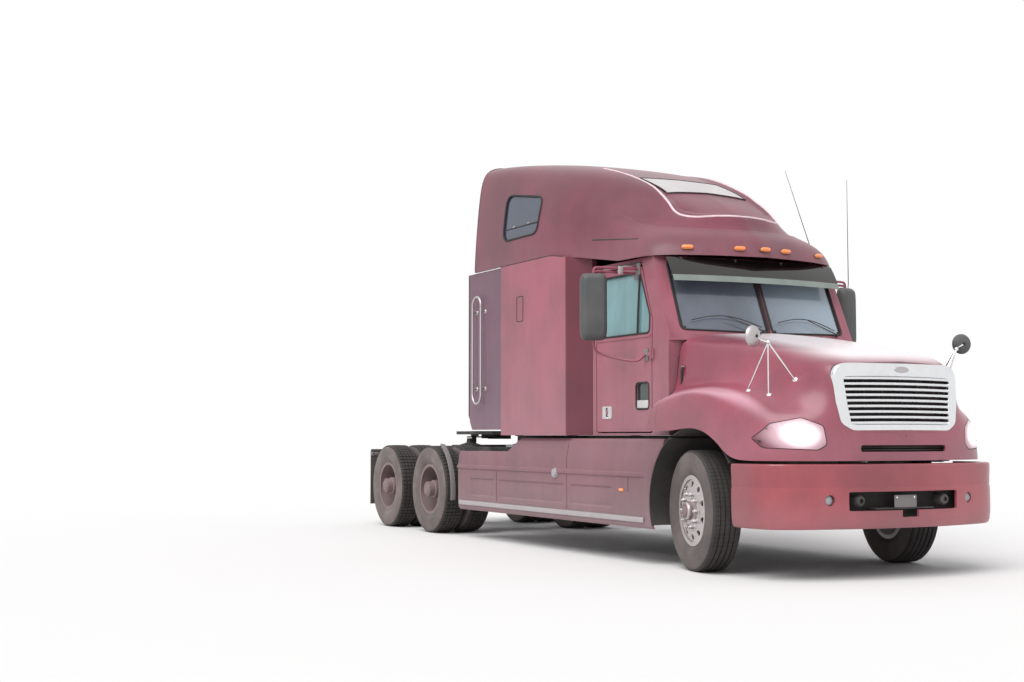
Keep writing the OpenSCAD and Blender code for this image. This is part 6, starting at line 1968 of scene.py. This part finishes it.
def makeSeats():
    lean, out = seatShape["lean"], seatShape["out"]
    for side, tag in ((-1, "right"), (1, "left")):
        x = side * seatShape["x"]
        seat = cushion("seat_cushion_" + tag, Vector((x, 2.755, 1.412)), ahead, above, 0.515, 0.530, 0.150)
        if side < 0:
            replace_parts(seat, "seats")
        back = Vector((x, 2.975, 1.545)) + lean * 0.335
        cushion("seat_back_" + tag, back - out * 0.030, lean, out, 0.480, 0.690, 0.105)
        cushion("headrest_" + tag, back + lean * 0.300 - out * 0.005, lean, out, 0.300, 0.150, 0.088, 32)
        frameForm = Form()
        frameForm.use("black").box((x - 0.150, 2.610, 1.191), (x + 0.150, 2.950, 1.240), 0.010)
        for k in range(5):
            frameForm.use("seal").lathe([(0.10, -0.010), (0.135, -0.004), (0.135, 0.004), (0.10, 0.010)],
                                        (x, 2.78, 1.251 + 0.028 * k), above, 28)
        frameForm.use("black").box((x - 0.200, 2.560, 1.385), (x + 0.200, 2.990, 1.412), 0.008)
        frameForm.make("seat_base_" + tag, "black", "chassis", "black_plastic")
    cushion("bunk_mattress", Vector((0, 4.345, 1.600)), ahead, above, 2.240, 0.780, 0.145, 64)
    locker = Form()
    locker.use("dash").box((-1.140, 3.955, 1.1905), (1.140, 4.770, 1.600), 0.012)
    for x in (-0.57, 0.0, 0.57):
        locker.use("black").box((x - 0.045, 3.949, 1.500), (x + 0.045, 3.9555, 1.520), 0.003)
    locker.make("bunk_locker", "dash", "chassis", "trim")


makeSeats()


def makeDashTrim():
    # Hooded instruments, vents, switches and the steering column's stalks
    form = Form()
    for x, z, r in ((0.40, 1.880, 0.045), (0.50, 1.885, 0.052), (0.61, 1.880, 0.045), (0.33, 1.835, 0.022),
                    (0.67, 1.835, 0.022)):
        spot = Vector((x, 2.190 - (1.96 - z) * 0.3, z))
        form.use("chrome").lathe([(r - 0.004, 0.010), (r, 0.010), (r + 0.002, 0.0)], spot, (0, 1, 0.25), 32)
        form.use("liner").lathe([(0.0, 0.003), (r - 0.004, 0.003)], spot, (0, 1, 0.25), 32)
        form.use("pale").tube([spot + Vector((0, 0.006, 0)), spot + Vector((0.6 * r, 0.007, 0.5 * r))], 0.0012, 5)
    for x in (-0.70, -0.35, 0.12):
        form.use("black").box((x - 0.075, 2.170, 1.855), (x + 0.075, 2.188, 1.910), 0.004)
        for k in range(4):
            form.use("liner").box((x - 0.068, 2.186, 1.862 + 0.012 * k), (x + 0.068, 2.192, 1.867 + 0.012 * k), 0.001)
    for x in np.linspace(-0.06, 0.206, 8):
        form.use("black").box((x - 0.012, 2.195, 1.790), (x + 0.012, 2.203, 1.822), 0.003)
    form.make("dash_trim", "black", "chassis", "trim")


makeDashTrim()


def makeSleeperInside():
    # Padded liner panels, a curtain rail and cabinets, dim behind the glass
    form = Form()
    for side in (-1, 1):
        form.use("dash").box((side * 1.1590, 3.48, 1.20), (side * 1.1500, 4.77, 2.94), 0.003)
        form.use("dash").box((side * 1.1200, 3.95, 2.55), (side * 0.80, 4.75, 2.92), 0.010)
    form.use("black").tube([(-1.0, 3.30, 2.70), (1.0, 3.30, 2.70)], 0.010, 8)
    form.make("sleeper_liner", "dash", "chassis", "trim")


makeSleeperInside()
print("stage: inside")


# Floor, backdrop and light

studio = {"floor": (232, 230, 228), "world": 0.62, "key": 2.6, "spread": 50, "rays": (0.58, 0.38, -0.90)}


def makeStudio():
    data = bpy.data.meshes.new("floor")
    reach = 60
    data.from_pydata([(-reach, -reach, 0), (reach, -reach, 0), (reach, reach, 0), (-reach, reach, 0)], [],
                     [(0, 1, 2, 3)])
    floor = bpy.data.objects.new("floor", data)
    bpy.context.scene.collection.objects.link(floor)
    look = Look("floorPaper")
    grain = look.noise(2.0, 3)
    look.set(Base_Color=look.mix(grain * 0.2, toLinear(studio["floor"]), toLinear([c - 6 for c in studio["floor"]])),
             Roughness=0.9)
    paper = look.add("ShaderNodeEmission", None, {"Color": (1.0, 1.0, 1.0), "Strength": 1.0})
    light = look.add("ShaderNodeLightPath")
    far = look.add("ShaderNodeMixShader")
    tree = look.tree
    spot = look.add("ShaderNodeSeparateXYZ", None, {0: look.place()})
    x, y = spot.val("X"), spot.val("Y")
    away = ((x * x + y * y) ** 0.5).ramp(7.0, 16.0)
    seen = light.val("Is Camera Ray").atMost(1.0)
    look.put(far.node.inputs[0], away * seen)
    tree.links.new(look.shader.outputs[0], far.node.inputs[1])
    tree.links.new(paper.node.outputs[0], far.node.inputs[2])
    tree.links.new(far.node.outputs[0], look.out.inputs[0])
    data.materials.append(look.material)
    world = bpy.data.worlds.new("studio")
    bpy.context.scene.world = world
    world.use_nodes = True
    tree = world.node_tree
    tree.nodes.clear()
    out = tree.nodes.new("ShaderNodeOutputWorld")
    soft, white, path, mix = (tree.nodes.new(k) for k in ("ShaderNodeBackground", "ShaderNodeBackground",
                                                            "ShaderNodeLightPath", "ShaderNodeMixShader"))
    soft.inputs[0].default_value = (0.93, 0.96, 1.0, 1.0)
    soft.inputs[1].default_value = studio["world"]
    white.inputs[0].default_value = (1, 1, 1, 1)
    white.inputs[1].default_value = 1.0
    either = tree.nodes.new("ShaderNodeMath")
    either.operation = "MAXIMUM"
    tree.links.new(path.outputs["Is Camera Ray"], either.inputs[0])
    tree.links.new(path.outputs["Is Glossy Ray"], either.inputs[1])
    tree.links.new(either.outputs[0], mix.inputs[0])
    tree.links.new(soft.outputs[0], mix.inputs[1])
    tree.links.new(white.outputs[0], mix.inputs[2])
    tree.links.new(mix.outputs[0], out.inputs[0])


makeStudio()
sun = bpy.data.lights.new("sun", "SUN")
sun.energy = studio["key"]
sun.angle = math.radians(studio["spread"])
sunObject = bpy.data.objects.new("sun", sun)
bpy.context.scene.collection.objects.link(sunObject)
sunObject.rotation_euler = Vector(studio["rays"]).to_track_quat("-Z", "Y").to_euler()
bpy.context.scene.view_settings.view_transform = "Standard"
print("stage: studio")
